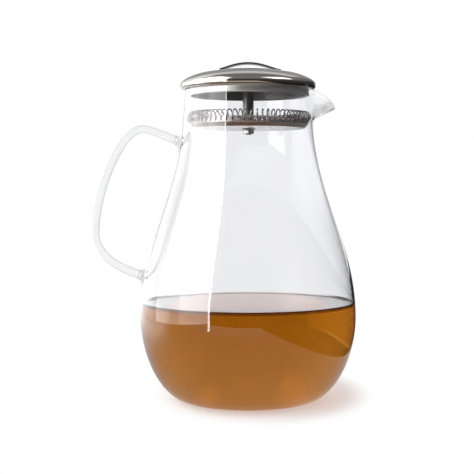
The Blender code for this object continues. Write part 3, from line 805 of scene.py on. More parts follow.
class PITCHER_OT_glass_handle(bpy.types.Operator):
    """Bend the solid glass rod and fuse its flared roots to the body"""

    bl_idname = "pitcher.glass_handle"
    bl_label = "Glass Handle"

    def execute(self, context):
        glass = context.scene.pitcher_glass
        outline = glass_outline(glass)
        route = handle_route(outline)
        runs = [0.0]
        for start, end in zip(route, route[1:]):
            runs.append(runs[-1] + (end - start).length)
        rings = []
        last = len(route) - 1
        for index, (place, run) in enumerate(zip(route, runs)):
            lead = (route[min(index + 1, last)] - route[max(index - 1, 0)]).normalized()
            side = Vector((lead.z, 0.0, -lead.x))
            thin = math.sin(math.pi * run / runs[-1])
            half = HANDLE_END_HALF + (HANDLE_MIDDLE_HALF - HANDLE_END_HALF) * thin
            flare = max(0.0, 1 - min(run, runs[-1] - run) / HANDLE_FLARE_RUN)
            half += (HANDLE_FLARE_HALF - HANDLE_END_HALF) * flare ** HANDLE_FLARE_POWER
            ring = []
            for turn in range(HANDLE_SIDES):
                angle = math.tau * turn / HANDLE_SIDES
                across = Vector((0.0, math.sin(angle) * half * HANDLE_FLATTENING, 0.0))
                point = place + side * math.cos(angle) * half + across
                if index in (0, last):
                    point = onto_wall(point, lead if index == 0 else -lead, outline)
                ring.append(point)
            rings.append(ring)
        handle = swept("glass_handle", rings)

        def joined(along, height):
            upper, lower = [along.step(end.x - ROOT_FADE_RUN, end.x) for end in (route[0], route[-1])]
            return ((height > HANDLE_MIDDLE) * upper + (height < HANDLE_MIDDLE) * lower) * ROOT_FADE

        finish = blown_glass("handle_glass", glass.rod_clear, glass.rod_grey_and_painted_shade, fall=2.4, swirl=0.06,
                             joined=joined)
        dress(handle, finish, "pitcher", "handle_glass", "glass_handle")
        keep_light_off(handle, "window")
        return {"FINISHED"}


# Drink

DRINK_OVERLAP = 0.00015
MENISCUS_WIDTH = 0.0026
MENISCUS_STEPS = 8
MENISCUS_POWER = 2.4
SURFACE_SHARES = (0.97, 0.9, 0.7, 0.4, 0.2, 0.0)
DRINK_SHARP = math.radians(50)


class PITCHER_OT_drink(bpy.types.Operator):
    """Fill the glass with tea up to its level"""

    bl_idname = "pitcher.drink"
    bl_label = "Drink"

    def execute(self, context):
        glass = context.scene.pitcher_glass
        drink = context.scene.pitcher_drink
        wall = inner_line(glass, glass.wall - DRINK_OVERLAP)
        top = drink.level + drink.meniscus
        edge = outline_radius(wall, top)
        section = [point for point in wall if point[1] < top] + [(edge, top)]
        for step in range(1, MENISCUS_STEPS + 1):
            share = step / MENISCUS_STEPS
            height = drink.level + drink.meniscus * (1 - share) ** MENISCUS_POWER
            section.append((edge - MENISCUS_WIDTH * share, height))
        reach = section[-1][0]
        section += [(reach * share, drink.level) for share in SURFACE_SHARES]
        tea = turned("drink", section, GLASS_STEPS, sharp=DRINK_SHARP)
        dress(tea, brewed_tea("amber_tea", drink), "pitcher", "body_glass")
        return {"FINISHED"}


# Lid

LID_STEPS = 160
DOME_RADIUS = 0.047
DOME_HEIGHT = 0.014
DOME_CROWN_RADIUS = 0.171
DOME_CROWN_SHARE = 0.70
DOME_CROWN_ROWS = 20
DOME_WIDEST = 0.0031
DOME_PULLS = (0.0055, 0.003)
DOME_SIDE_ROWS = 18
HEM_RADIUS = 0.046
HEM_ROWS = 8
HEM_SHADE_TOP = 0.37
FLANGE_RADIUS = 0.045
PLUG_RADIUS = 0.04165
PLUG_DEPTH = 0.0050
PLUG_CORNER = 0.0008
PLUG_CORNER_END = -0.002
PLUG_CORNER_STEPS = 6
PLUG_FOLD_WIDTH = 0.0022
PLUG_FOLD_STEPS = 12
PLUG_FLOOR_RISE = 0.0030
PLUG_FLOOR_CORNER = 0.0012


def dome_height(radius):
    """Height of the crown's outer face over the flange's underside."""
    return DOME_HEIGHT - DOME_CROWN_RADIUS + math.sqrt(DOME_CROWN_RADIUS ** 2 - radius ** 2)


def dome_face():
    """The dome's outer face from its middle down to its hem."""
    end = DOME_RADIUS * DOME_CROWN_SHARE
    radii = [end * row / DOME_CROWN_ROWS for row in range(DOME_CROWN_ROWS + 1)]
    face = [(radius, dome_height(radius)) for radius in radii]
    slope = end / math.sqrt(DOME_CROWN_RADIUS ** 2 - end ** 2)
    out, up = DOME_PULLS
    crown = face[-1]
    widest = (DOME_RADIUS, DOME_WIDEST)
    face += curve_through(crown, (crown[0] + out, crown[1] - out * slope), (DOME_RADIUS, DOME_WIDEST + up),
                          widest, DOME_SIDE_ROWS)
    turn = (DOME_RADIUS, DOME_WIDEST / 2)
    return face + curve_through(widest, turn, turn, (HEM_RADIUS, LID_SHEET / 2), HEM_ROWS)


def plug_face():
    """The plug's lower face: the flange, the folded skirt, and the raised floor inside it."""
    face = [(FLANGE_RADIUS, 0.0)]
    face += eased([
        (FLANGE_RADIUS, 0.0, 0.0),
        (PLUG_RADIUS, 0.0, PLUG_CORNER),
        (PLUG_RADIUS, PLUG_CORNER_END, 0.0),
    ], PLUG_CORNER_STEPS)[1:-1]
    fold = PLUG_FOLD_WIDTH / 2
    for step in range(PLUG_FOLD_STEPS + 1):
        angle = math.pi * step / PLUG_FOLD_STEPS
        face.append((PLUG_RADIUS - fold + fold * math.cos(angle), fold - PLUG_DEPTH - fold * math.sin(angle)))
    inner = PLUG_RADIUS - PLUG_FOLD_WIDTH
    return face + eased([
        (inner, 0.0, 0.0),
        (inner, PLUG_FLOOR_RISE, PLUG_FLOOR_CORNER),
        (BORE_RADIUS, PLUG_FLOOR_RISE, 0.0),
    ], PLUG_CORNER_STEPS)


class PITCHER_OT_lid(bpy.types.Operator):
    """Press the domed lid and the plug that seats it in the mouth"""

    bl_idname = "pitcher.lid"
    bl_label = "Lid"

    def execute(self, context):
        steel = context.scene.pitcher_steel
        dome = turned("lid_dome", sheet_section(dome_face(), LID_SHEET, FLANGE_UNDERSIDE), LID_STEPS)
        # Painted shade: the lowest part of the hem takes the dark steel colour
        hem = ("height", FLANGE_UNDERSIDE + DOME_WIDEST * HEM_SHADE_TOP, steel.painted_shade_steel)
        finish = turned_steel("dome_steel", steel.polished, roughness=steel.polish, lines=2200.0, depth=0.10,
                              painted_light_patch=hem, graze=0.62)
        dress(dome, finish, "cap", "dome_steel", "lid_dome")
        section = sheet_section(plug_face(), LID_SHEET, FLANGE_UNDERSIDE)
        plug = turned("lid_plug", section, LID_STEPS, loop=True)
        # Painted shade: the plug's recess inside its folded skirt takes the dark steel colour
        painted_shade_recess = ("radius", PLUG_RADIUS - PLUG_FOLD_WIDTH + LID_SHEET / 2, steel.painted_shade_steel)
        finish = turned_steel("plug_steel", steel.polished, roughness=0.26, lines=2600.0, depth=0.10,
                              painted_light_patch=painted_shade_recess)
        dress(plug, finish, "cap", "plug_steel", "lid_plug")
        return {"FINISHED"}


# Strap

STRAP_BOW = 0.040
STRAP_FOOT = 0.0025
STRAP_WIDTH = 0.012
STRAP_SHEET = 0.0009
STRAP_RISE = 0.0032
STRAP_POWER = 1.35
STRAP_CORNER = 0.00035
STRAP_CORNER_STEPS = 4
STRAP_ROWS = 72
STRAP_END_RUN = 0.0035
STRAP_END_SHARE = 0.55
STRAP_SHARP = math.radians(50)


class PITCHER_OT_strap(bpy.types.Operator):
    """Bend the strap that lifts the lid, with rounded feet"""

    bl_idname = "pitcher.strap"
    bl_label = "Strap"

    def execute(self, context):
        steel = context.scene.pitcher_steel
        reach = STRAP_BOW / 2 + STRAP_FOOT
        rings = []
        for row in range(STRAP_ROWS + 1):
            along = -reach * math.cos(math.pi * row / STRAP_ROWS)
            share = min(1.0, abs(along) / (STRAP_BOW / 2))
            base = dome_height(abs(along)) + FIT_GAP + STRAP_RISE * (1 - share * share) ** STRAP_POWER
            base += FLANGE_UNDERSIDE
            off_end = min(1.0, (reach - abs(along)) / STRAP_END_RUN)
            rounded = math.sqrt(1 - (1 - off_end) ** 2)
            half = STRAP_WIDTH / 2 * (STRAP_END_SHARE + (1 - STRAP_END_SHARE) * rounded)
            low = STRAP_CORNER
            high = STRAP_SHEET - STRAP_CORNER
            inside = half - STRAP_CORNER
            ring = []
            for across, height, turn in ((inside, low, -90), (inside, high, 0), (-inside, high, 90),
                                         (-inside, low, 180)):
                for step in range(STRAP_CORNER_STEPS + 1):
                    angle = math.radians(turn + 90 * step / STRAP_CORNER_STEPS)
                    ring.append(Vector((along, across + STRAP_CORNER * math.cos(angle),
                                        base + height + STRAP_CORNER * math.sin(angle))))
            rings.append(ring)
        strap = swept("strap_handle", rings, sharp=STRAP_SHARP)
        finish = brushed_steel("strap_steel", steel.drawn, roughness=steel.polish, stretch=(0.03, 1.0, 1.0),
                               depth=0.08, graze=0.3)
        dress(strap, finish, "cap", "strap_steel", "strap_handle")
        return {"FINISHED"}


# Strainer

PAN_SHEET = 0.0006
PAN_RADIUS = 0.04165
PAN_HEIGHT = 0.0069
PAN_CHAMFER = 0.0028
PAN_CORNER = 0.0012
PAN_CORNER_STEPS = 5
PAN_SHARP = math.radians(35)
# Top of the painted highlight on the pan's floor
UNDERSIDE_TOP = 0.0003
WIRE_RADIUS = 0.00045
WIRE_SIDES = 10
COIL_RADIUS = 0.00425
COIL_CLEARANCE = 0.0005
COIL_START = math.radians(99)
COIL_SEAM = 17
COIL_TURN_POINTS = 24
COIL_HOLE_RADIUS = 0.00095
DRILL_DEPTH = 0.0024
DRILL_SIDES = 14
DRAIN_RADIUS = 0.0016
DRAIN_RINGS = (0.31, 0.51, 0.71)
DRAIN_PITCH = 0.0074
DRAIN_START = 0.3


def coil_seat(glass):
    """The coil's ring radius, its height, its reach and the phase where its wire crosses the pan's wall."""
    neck_bore = outline_radius(glass_outline(glass), PAN_UNDERSIDE + PAN_HEIGHT) - glass.wall
    ring = neck_bore - COIL_CLEARANCE - COIL_RADIUS
    chamfer_line = PAN_UNDERSIDE + PAN_CHAMFER - PAN_RADIUS + PAN_SHEET * math.sqrt(2)
    height = ring + chamfer_line + (COIL_RADIUS + FIT_GAP) * math.sqrt(2)
    reach = COIL_RADIUS - WIRE_RADIUS
    phase = math.tau - math.acos((PAN_RADIUS - PAN_SHEET / 2 - ring) / reach)
    return ring, height, reach, phase


def first_hole(places):
    """The angle of the first hole that the wire is threaded through."""
    return math.tau * (COIL_SEAM + 0.5) / places


def perforation_tree():
    """Drills a ring of holes, either upright or out through a wall."""
    tree, sheet, ports = new_tree("Ring of holes", {
        "Count": 12,
        "Ring radius": 0.02,
        "Height": 0.0,
        "Start": 0.0,
        "Hole radius": 0.001,
        "Depth": 0.004,
        "Outward": 0.0,
    })
    circle = sheet.node("GeometryNodeMeshCircle", {}, {
        "Vertices": ports["Count"], "Radius": ports["Ring radius"]})
    turn = sheet.node("ShaderNodeCombineXYZ", {}, {2: ports["Start"]})
    shift = sheet.node("ShaderNodeCombineXYZ", {}, {2: ports["Height"]})
    placed = sheet.node("GeometryNodeTransform", {}, {
        "Geometry": circle, "Rotation": turn, "Translation": shift})
    along, across, _ = parts_of(sheet, sheet.node("GeometryNodeInputPosition"))
    outward = ports["Outward"]
    axis = sheet.node("ShaderNodeCombineXYZ", {}, {0: along * outward, 1: across * outward, 2: 1 - outward})
    facing = sheet.node("FunctionNodeAlignRotationToVector", {"axis": "Z"}, {"Vector": axis})
    drill = sheet.node("GeometryNodeMeshCylinder", {}, {
        "Vertices": DRILL_SIDES, "Radius": ports["Hole radius"], "Depth": ports["Depth"]})
    drills = sheet.node("GeometryNodeInstanceOnPoints", {}, {
        "Points": placed, "Instance": drill, "Rotation": facing})
    solid = sheet.node("GeometryNodeRealizeInstances", {}, {"Geometry": drills})
    cut = sheet.node("GeometryNodeMeshBoolean", {"operation": "DIFFERENCE", "solver": "EXACT"}, {
        "Mesh 1": ports["Geometry"], "Mesh 2": solid})
    close_tree(sheet, cut, ports["Finish"])
    return tree


def coil_tree():
    """Winds a helix round the axis and gives it its wire."""
    tree, sheet, ports = new_tree("Coil bent round an axis", {
        "Turns": 66,
        "Places": 67,
        "Points in a turn": 24,
        "Ring radius": 0.04,
        "Height": 0.2,
        "Reach": 0.004,
        "Start phase": 0.0,
        "Start angle": 0.0,
        "Wire radius": 0.0005,
    })
    line = sheet.node("GeometryNodeCurvePrimitiveLine")
    count = ports["Turns"] * ports["Points in a turn"] + 1
    dense = sheet.node("GeometryNodeResampleCurve", {}, {"Curve": line, "Count": count})
    turned_by = sheet.node("GeometryNodeSplineParameter") * ports["Turns"] * math.tau
    phase = turned_by + ports["Start phase"]
    angle = turned_by / ports["Places"] + ports["Start angle"]
    radius = phase.math("COSINE") * ports["Reach"] + ports["Ring radius"]
    place = sheet.node("ShaderNodeCombineXYZ", {}, {
        0: angle.math("COSINE") * radius,
        1: angle.math("SINE") * radius,
        2: phase.math("SINE") * ports["Reach"] + ports["Height"],
    })
    helix = sheet.node("GeometryNodeSetPosition", {}, {"Geometry": dense, "Position": place})
    round_wire = sheet.node("GeometryNodeCurvePrimitiveCircle", {}, {
        "Resolution": WIRE_SIDES, "Radius": ports["Wire radius"]})
    wire = sheet.node("GeometryNodeCurveToMesh", {}, {
        "Curve": helix, "Profile Curve": round_wire, "Fill Caps": True})
    close_tree(sheet, wire, ports["Finish"])
    return tree


class PITCHER_OT_strainer_pan(bpy.types.Operator):
    """Press the strainer pan and drill its floor and its wall"""

    bl_idname = "pitcher.strainer_pan"
    bl_label = "Strainer Pan"

    def execute(self, context):
        steel = context.scene.pitcher_steel
        _, height, reach, phase = coil_seat(context.scene.pitcher_glass)
        face = eased([
            (PAN_RADIUS, PAN_HEIGHT - PAN_SHEET / 2, 0.0),
            (PAN_RADIUS, PAN_CHAMFER, PAN_CORNER),
            (PAN_RADIUS - PAN_CHAMFER, 0.0, PAN_CORNER),
            (BORE_RADIUS, 0.0, 0.0),
        ], PAN_CORNER_STEPS)
        section = sheet_section(face, PAN_SHEET, PAN_UNDERSIDE)
        pan = turned("strainer_pan", section, steel.coil_places * 3, loop=True)
        # Painted highlight: the pan's floor and the foot of its corner take a pale steel colour
        underside = ("height", PAN_UNDERSIDE + UNDERSIDE_TOP, steel.bright)
        finish = turned_steel("pan_steel", steel.pressed, roughness=0.20, lines=1500.0, depth=0.12,
                              painted_light_patch=underside)
        names = ("Count", "Ring radius", "Height", "Start", "Hole radius", "Outward")
        drills = [(steel.coil_places, PAN_RADIUS - PAN_SHEET / 2, height + reach * math.sin(phase),
                   first_hole(steel.coil_places), COIL_HOLE_RADIUS, 1.0)]
        for share in DRAIN_RINGS:
            radius = (PAN_RADIUS - PAN_CHAMFER) * share
            count = int(math.tau * radius / DRAIN_PITCH)
            drills.append((count, radius, PAN_UNDERSIDE + PAN_SHEET / 2, math.tau * DRAIN_START / count,
                           DRAIN_RADIUS, 0.0))
        tree = perforation_tree()
        for drill in drills:
            grow(pan, tree, {**dict(zip(names, drill)), "Depth": DRILL_DEPTH, "Finish": finish})
        pan.data.shade_smooth()
        pan.data.set_sharp_from_angle(angle=PAN_SHARP)
        dress(pan, finish, "strainer", "pan_steel", "strainer_pan")
        return {"FINISHED"}


class PITCHER_OT_strainer_coil(bpy.types.Operator):
    """Wind the coil that is threaded through the pan's wall"""

    bl_idname = "pitcher.strainer_coil"
    bl_label = "Strainer Coil"

    def execute(self, context):
        steel = context.scene.pitcher_steel
        ring, height, reach, phase = coil_seat(context.scene.pitcher_glass)
        finish = brushed_steel("coil_steel", steel.drawn, roughness=0.16, stretch=(1.0, 1.0, 1.0), depth=0.05)
        coil = new_object("strainer_coil", bpy.data.meshes.new("strainer_coil"))
        grow(coil, coil_tree(), {
            "Turns": steel.coil_places - 1,
            "Places": steel.coil_places,
            "Points in a turn": COIL_TURN_POINTS,
            "Ring radius": ring,
            "Height": height,
            "Reach": reach,
            "Start phase": COIL_START,
            "Start angle": first_hole(steel.coil_places) - (phase - COIL_START) / steel.coil_places,
            "Wire radius": WIRE_RADIUS,
            "Finish": finish,
        })
        coil.data.shade_smooth()
        dress(coil, finish, "strainer", "coil_steel", "strainer_coil")
        return {"FINISHED"}


# Clamp hardware

ROUND_STEPS = 48
POST_RADIUS = 0.0038
POST_CORNERS = (0.0002, 0.0003, 0.0003, 0.0002)
TUBE_CORNER_STEPS = 3
SCREW_RADIUS = 0.0025
SCREW_PITCH = 0.0008
SCREW_PITCH_ROWS = 6
SCREW_ROOT = 0.00042
THREAD_FLANK = 1.5
THREAD_FLAT = 0.25
SCREW_SHARP = math.radians(35)
SCREW_HEAD_RADIUS = 0.0046
SCREW_HEAD_HEIGHT = 0.0025
SCREW_HEAD_CORNERS = (0.0003, 0.0015, 0.0006)
SCREW_HEAD_SIDE_SHARE = 0.5
SCREW_HEAD_TOP_SHARES = (0.66, 0.5)
SOCKET_FLATS = 0.003
SOCKET_DEPTHS = (0.0014, 0.0017)
WASHER_RADIUS = 0.005
WASHER_CORNERS = (0.0001, 0.0002, 0.0001, 0.0001)
NUT_FLATS = 0.008
NUT_CHAMFER_SLOPE = math.radians(32)
NUT_CHAMFER_SHARE = 0.97
NUT_CHAMFER_STEPS = 4
NUT_BORE_DEPTH = 0.0002
NUT_BORE_WIDER = 0.0003
NUT_SHARP = math.radians(22)


def hex_ring(flats, height, limit=math.inf):
    """A hexagonal ring of points, cut back to a round limit."""
    points = []
    for index in range(ROUND_STEPS):
        angle = math.tau * index / ROUND_STEPS
        off_flat = (angle + math.pi / 6) % (math.pi / 3) - math.pi / 6
        points.append(polar(min(flats / 2 / math.cos(off_flat), limit), angle, height))
    return points


def thread_ring(height):
    """A ring of the screw's shank, which runs in and out once a turn and once a pitch."""
    ring = []
    for index in range(ROUND_STEPS):
        wave = abs(((height / SCREW_PITCH - index / ROUND_STEPS) % 1.0) * 2 - 1)
        crest = SCREW_ROOT * min(1.0, max(0.0, (height - SCREW_TIP) / SCREW_PITCH))
        radius = SCREW_RADIUS - SCREW_ROOT + crest * max(0.0, min(1.0, wave * THREAD_FLANK - THREAD_FLAT))
        ring.append(polar(radius, math.tau * index / ROUND_STEPS, height))
    return ring


def bored_tube(name, radius, low, high, corners):
    """A tube round the bore. Its corners' roundings start at the lower inner edge."""
    places = ((BORE_RADIUS, low), (radius, low), (radius, high), (BORE_RADIUS, high))
    rounded = [(*place, corner) for place, corner in zip(places, corners)]
    section = eased(rounded, TUBE_CORNER_STEPS, loop=True)
    return turned(name, section, ROUND_STEPS, loop=True)


def screw_rings():
    """The screw from its tip, with its thread, its head and the hexagonal socket in it."""
    seat = SCREW_TOP - SCREW_HEAD_HEIGHT
    rows = int((seat - SCREW_TIP) / SCREW_PITCH * SCREW_PITCH_ROWS)
    rings = [[Vector((0.0, 0.0, SCREW_TIP))]]
    rings += [thread_ring(SCREW_TIP + (seat - SCREW_TIP) * row / rows) for row in range(rows + 1)]
    under, shoulder, brow = SCREW_HEAD_CORNERS
    top, rim = [SCREW_HEAD_RADIUS * share for share in SCREW_HEAD_TOP_SHARES]
    head = eased([
        (SCREW_RADIUS, seat, 0.0),
        (SCREW_HEAD_RADIUS, seat, under),
        (SCREW_HEAD_RADIUS, seat + SCREW_HEAD_HEIGHT * SCREW_HEAD_SIDE_SHARE, shoulder),
        (top, SCREW_TOP, brow),
        (rim, SCREW_TOP, 0.0),
    ])
    rings += [ring_of(radius, height, ROUND_STEPS) for radius, height in head]
    socket, cone = SOCKET_DEPTHS
    rings += [hex_ring(SOCKET_FLATS, SCREW_TOP), hex_ring(SOCKET_FLATS, SCREW_TOP - socket)]
    return [*rings, [Vector((0.0, 0.0, SCREW_TOP - cone))]]


def nut_rings():
    """The nut from the top of its bore down and round its chamfered outside."""
    half = NUT_FLATS / 2
    corner = half / math.cos(math.pi / 6)
    chamfer = (corner - half) * math.tan(NUT_CHAMFER_SLOPE)
    start = half * NUT_CHAMFER_SHARE
    shares = [(step, NUT_CHAMFER_STEPS) for step in range(NUT_CHAMFER_STEPS + 1)]
    cuts = [(chamfer * step / steps, start + (corner - start) * step / steps) for step, steps in shares]
    bore = ((BORE_RADIUS, NUT_TOP - NUT_BORE_DEPTH), (BORE_RADIUS, NUT_BOTTOM + NUT_BORE_DEPTH),
            (BORE_RADIUS + NUT_BORE_WIDER, NUT_BOTTOM))
    rings = [ring_of(radius, height, ROUND_STEPS) for radius, height in bore]
    rings += [hex_ring(NUT_FLATS, NUT_BOTTOM + off, limit) for off, limit in cuts]
    rings += [hex_ring(NUT_FLATS, NUT_TOP - off, limit) for off, limit in reversed(cuts)]
    return [*rings, ring_of(BORE_RADIUS + NUT_BORE_WIDER, NUT_TOP, ROUND_STEPS)]


class PITCHER_OT_hardware(bpy.types.Operator):
    """Turn the post, the screw, the washer and the nut that hold the strainer to the lid"""

    bl_idname = "pitcher.hardware"
    bl_label = "Clamp Hardware"

    def execute(self, context):
        steel = context.scene.pitcher_steel
        post = bored_tube("center_post", POST_RADIUS, POST_BOTTOM, POST_TOP, POST_CORNERS)
        # Painted shade: the post under the lid takes the dark steel colour
        finish = brushed_steel("post_steel", steel.painted_shade_steel, roughness=0.22, stretch=(1.0, 1.0, 0.02), depth=0.02)
        dress(post, finish, "strainer", "post_steel", "center_post")
        screw = skin("clamp_screw", screw_rings(), sharp=SCREW_SHARP)
        finish = turned_steel("screw_steel", steel.drawn, roughness=0.24, lines=1800.0, depth=0.10)
        dress(screw, finish, "strainer", "screw_steel", "clamp_screw")
        washer = bored_tube("washer", WASHER_RADIUS, WASHER_BOTTOM, WASHER_TOP, WASHER_CORNERS)
        finish = turned_steel("washer_steel", steel.drawn, roughness=0.22, lines=2400.0, depth=0.08)
        dress(washer, finish, "strainer", "washer_steel", "washer")
        nut = skin("hex_nut", nut_rings(), loop=True, sharp=NUT_SHARP)
        finish = brushed_steel("nut_steel", steel.drawn, roughness=0.18, stretch=(1.0, 1.0, 0.05), depth=0.06)
        dress(nut, finish, "strainer", "nut_steel", "hex_nut")
        return {"FINISHED"}


# Studio. Bearings are 0 straight behind the pitcher and above 0 to its right. Strengths of 1 are white


def bearings(*angles):
    return [math.radians(angle) for angle in angles]


CAMERA_PLACE = (0.0, -0.77235, 0.15037)
CAMERA_PITCH = math.radians(2.73)
CAMERA_LENS = 84.08
CAMERA_SENSOR = 36.0
CAMERA_SHIFT = -0.0236
WINDOW_PLACE = -0.5
WINDOW_WIDTH = 0.77
WINDOW_HEIGHT = 1.4
WINDOW_MIDDLE = WINDOW_HEIGHT / 2 + 0.01
# Name, place from front to back, width, share of the full power, and whether glass shows the lamp
WINDOW_PARTS = (
    ("window_lamp", -0.385, 0.47, 1.0, True),
    ("window_middle_lamp", 0.0, 0.30, 1.0, False),
    ("window_back_lamp", 0.535, 0.77, 0.14, False),
)
WINDOW_EDGE_SHARE = 0.0425
WINDOW_EDGE_SIZE = (0.015, 0.60)
WINDOW_EDGE_PLACE = (-0.265, -0.345, 0.3005)
WINDOW_EDGE_AIM = (0.0, -0.1, 0.3005)
FILL_SIZE = (0.5, 0.5)
FILL_PLACE = (0.48, -0.24, 0.75)
FILL_AIM = (0.0, 0.0, 0.18)
OVERHEAD_SIZE = (1.0, 0.3)
OVERHEAD_PLACE = (0.0, 0.7, 1.0)
OVERHEAD_AIM = (0.0, 0.0, 0.2)

BACKDROP_LEFT_END = bearings(-150, -110)
BACKDROP_RIGHT_END = bearings(14, 34)
BACKDROP_STRENGTH = 1.15
BACKDROP_LEFT = bearings(-35, -5)
BACKDROP_LEFT_MORE = 0.5
BACKDROP_HIGH = (0.12, 0.30)
BACKDROP_HIGH_LESS = 0.8
BACKDROP_TOP_END = (0.62, 0.80)
SLOT_LEFT_END = bearings(-34, -26)
SLOT_RIGHT_END = bearings(-12, -7)
SLOT_TOP_END = (0.05, 0.2)
SLOT_DARK = 0.42
CEILING = (0.05, 0.50)
CEILING_STRENGTH = 0.20
ROOM_STRENGTH = 0.05
ANY_BOUNCE = 0.5
DEEP_TRANSMISSION = 3.5
DEEP_CEILING = (0.3, 0.7)
DEEP_CEILING_STRENGTH = 0.9
SCATTERED_STRENGTH = 0.30

FLOOR_HALF = 6.0
FLOOR_HEIGHT = -0.0002
SHADOW_MIDDLE = (0.01, 0.03)
SHADOW_REACH = (0.082, 0.13)
SHADOW_FADE = (0.70, 1.0)
LIT_THROUGH_TEA = (0.028, 0.043)
LIT_THROUGH_TEA_COLOUR = (1.0, 0.62, 0.36)
LIT_THROUGH_TEA_SHARE = 0.8
TABLE_RIGHT_END = (0.13, 0.134)
TABLE_NEAR_END = (-0.624, -0.62)
TABLE_STRENGTH = 0.62
TABLE_FAR = (0.2, 0.8)
TABLE_FAR_MORE = 0.30
TABLE_BACK_LEFT = ((-0.08, 0.06), (-0.35, -0.1))
TABLE_BACK_LEFT_MORE = 1.2
TABLE_WARM_NEAR = ((-0.4, -0.2), (-0.15, 0.2))
TABLE_WARM_COLOUR = (1.0, 0.77, 0.60)
TABLE_BACK_LEFT_COOLER = 0.5
UNDER_TABLE_STRENGTH = 0.03


def lamp(name, watts, size, place, aim, through=True):
    """A lamp that faces a point. The camera sees it only in reflections and, where through, through glass."""
    data = bpy.data.lights.new(name, "AREA")
    data.energy = watts
    data.shape = "RECTANGLE"
    data.size, data.size_y = size
    light = new_object(name, data)
    light.location = place
    light.rotation_euler = (Vector(aim) - Vector(place)).to_track_quat("-Z", "Y").to_euler()
    light.visible_camera = False
    light.visible_transmission = through


def studio_world():
    """White behind the glass. Reflections see a pale backdrop in a dim room that is dark at the right."""
    world = bpy.data.worlds.new("studio")
    bpy.context.scene.world = world
    world.use_nodes = True
    sheet = Sheet(world.node_tree)
    along, back, rise = parts_of(sheet, sheet.node("ShaderNodeTexCoord", output=0))
    bearing = along.math("ARCTAN2", back)
    backdrop = (1 - bearing.step(*BACKDROP_RIGHT_END)) * bearing.step(*BACKDROP_LEFT_END)
    left = 1 - bearing.step(*BACKDROP_LEFT)
    backdrop = backdrop * (BACKDROP_STRENGTH + left * BACKDROP_LEFT_MORE
                           - rise.step(*BACKDROP_HIGH) * BACKDROP_HIGH_LESS)
    backdrop = backdrop * (1 - rise.step(*BACKDROP_TOP_END))
    slot = bearing.step(*SLOT_LEFT_END) * (1 - bearing.step(*SLOT_RIGHT_END))
    backdrop = backdrop * (1 - slot * (1 - rise.step(*SLOT_TOP_END)) * SLOT_DARK)
    room = backdrop + rise.step(*CEILING) * CEILING_STRENGTH + ROOM_STRENGTH
    depths = {
        "Glossy Depth": ANY_BOUNCE,
        "Diffuse Depth": ANY_BOUNCE,
        "Transmission Depth": DEEP_TRANSMISSION,
    }
    mirrored, scattered, deep = [
        sheet.node("ShaderNodeLightPath", output=name) > least for name, least in depths.items()]
    room = room + deep * rise.step(*DEEP_CEILING) * DEEP_CEILING_STRENGTH
    straight = (1 - mirrored) * (1 - scattered)
    other = scattered * SCATTERED_STRENGTH + (1 - scattered) * room
    light = sheet.node("ShaderNodeBackground", {}, {
        "Color": WHITE, "Strength": straight + (1 - straight) * other})
    sheet.node("ShaderNodeOutputWorld", {}, {"Surface": light})


def floor_finish(colour):
    """A white table: the camera sees it white but for shadows, and reflections see where it ends."""
    finish, sheet = new_finish("white_table")
    _, along, across, _ = object_axes(sheet)

    def glow(light, strength):
        return sheet.node("ShaderNodeEmission", {}, {"Color": light, "Strength": strength})

    def mixed(share, first, second):
        return sheet.node("ShaderNodeMixShader", {}, {0: share, 1: first, 2: second})

    distance = root_of_squares((along - SHADOW_MIDDLE[0]) / SHADOW_REACH[0],
                               (across - SHADOW_MIDDLE[1]) / SHADOW_REACH[1])
    matt = sheet.node("ShaderNodeBsdfDiffuse", {}, {"Color": opaque(colour)})
    seen = mixed(distance.step(*SHADOW_FADE), matt, glow(WHITE, 1.0))
    under = 1 - root_of_squares(along, across).step(*LIT_THROUGH_TEA)
    warm = glow(opaque(LIT_THROUGH_TEA_COLOUR), LIT_THROUGH_TEA_SHARE)
    seen = mixed(under * LIT_THROUGH_TEA_SHARE, seen, warm)
    on_table = (1 - along.step(*TABLE_RIGHT_END)) * across.step(*TABLE_NEAR_END)
    back_left = across.step(*TABLE_BACK_LEFT[0]) * (1 - along.step(*TABLE_BACK_LEFT[1]))
    near = across.step(*TABLE_WARM_NEAR[0]) * (1 - across.step(*TABLE_WARM_NEAR[1]))
    warmth = near - back_left * TABLE_BACK_LEFT_COOLER
    tone = warmth.blend(WHITE, opaque(TABLE_WARM_COLOUR))
    strength = TABLE_STRENGTH + back_left * TABLE_BACK_LEFT_MORE + across.step(*TABLE_FAR) * TABLE_FAR_MORE
    mirrored = glow(tone, on_table * strength + UNDER_TABLE_STRENGTH)
    reflected = sheet.node("ShaderNodeLightPath", output="Glossy Depth") > ANY_BOUNCE
    sheet.node("ShaderNodeOutputMaterial", {}, {"Surface": mixed(reflected, seen, mirrored)})
    return finish


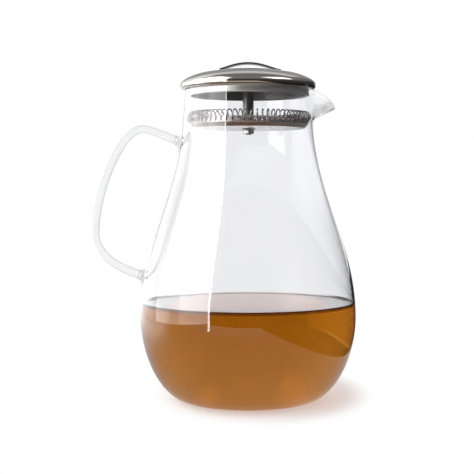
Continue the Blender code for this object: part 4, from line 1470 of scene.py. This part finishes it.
class PITCHER_OT_studio(bpy.types.Operator):
    """Lay the floor and set the lamps, the world and the camera"""

    bl_idname = "pitcher.studio"
    bl_label = "Studio"

    def execute(self, context):
        scene = context.scene
        studio = scene.pitcher_studio
        shape = bmesh.new()
        bmesh.ops.create_grid(shape, x_segments=1, y_segments=1, size=FLOOR_HALF,
                              matrix=Matrix.Translation((0.0, 0.0, FLOOR_HEIGHT)))
        mesh = bpy.data.meshes.new("floor")
        shape.to_mesh(mesh)
        shape.free()
        mesh.materials.append(floor_finish(studio.floor))
        new_object("floor", mesh)
        studio_world()
        for name, back, width, share, through in WINDOW_PARTS:
            lamp(name, studio.window * share * width / WINDOW_WIDTH, (width, WINDOW_HEIGHT),
                 (WINDOW_PLACE, back, WINDOW_MIDDLE), (0.0, back, WINDOW_MIDDLE), through)
        lamp("window_edge_lamp", studio.window * WINDOW_EDGE_SHARE, WINDOW_EDGE_SIZE, WINDOW_EDGE_PLACE,
             WINDOW_EDGE_AIM, False)
        lamp("fill_lamp", studio.fill, FILL_SIZE, FILL_PLACE, FILL_AIM)
        lamp("overhead_lamp", studio.overhead, OVERHEAD_SIZE, OVERHEAD_PLACE, OVERHEAD_AIM)
        data = bpy.data.cameras.new("camera")
        data.lens = CAMERA_LENS
        data.sensor_width = CAMERA_SENSOR
        data.shift_x = CAMERA_SHIFT
        camera = new_object("camera", data)
        camera.location = CAMERA_PLACE
        camera.rotation_euler = (math.pi / 2 - CAMERA_PITCH, 0.0, 0.0)
        scene.camera = camera
        scene.view_settings.view_transform = "Standard"
        return {"FINISHED"}


class PITCHER_PT_panel(bpy.types.Panel):
    """Settings and steps of the pitcher"""

    bl_label = "Glass Pitcher"
    bl_idname = "PITCHER_PT_panel"
    bl_space_type = "VIEW_3D"
    bl_region_type = "UI"
    bl_category = "Pitcher"

    def draw(self, context):
        for group in SETTINGS:
            box = self.layout.box()
            settings = getattr(context.scene, group)
            for name in settings.__annotations__:
                box.prop(settings, name)
        for operator in OPERATORS:
            self.layout.operator(operator.bl_idname)


SETTINGS = {
    "pitcher_glass": GlassSettings,
    "pitcher_drink": DrinkSettings,
    "pitcher_steel": SteelSettings,
    "pitcher_studio": StudioSettings,
}
OPERATORS = (
    PITCHER_OT_studio,
    PITCHER_OT_glass_body,
    PITCHER_OT_glass_handle,
    PITCHER_OT_drink,
    PITCHER_OT_lid,
    PITCHER_OT_strap,
    PITCHER_OT_strainer_pan,
    PITCHER_OT_strainer_coil,
    PITCHER_OT_hardware,
)


def register():
    for name, group in SETTINGS.items():
        bpy.utils.register_class(group)
        setattr(bpy.types.Scene, name, PointerProperty(type=group))
    for item in (*OPERATORS, PITCHER_PT_panel):
        bpy.utils.register_class(item)


def unregister():
    for item in reversed((*OPERATORS, PITCHER_PT_panel)):
        bpy.utils.unregister_class(item)
    for name, group in SETTINGS.items():
        delattr(bpy.types.Scene, name)
        bpy.utils.unregister_class(group)


def main():
    register()
    bpy.ops.pitcher.studio()
    bpy.ops.pitcher.glass_body()
    bpy.ops.pitcher.glass_handle()
    bpy.ops.pitcher.drink()
    bpy.ops.pitcher.lid()
    bpy.ops.pitcher.strap()
    bpy.ops.pitcher.strainer_pan()
    bpy.ops.pitcher.strainer_coil()
    bpy.ops.pitcher.hardware()


if __name__ == "__main__":
    main()
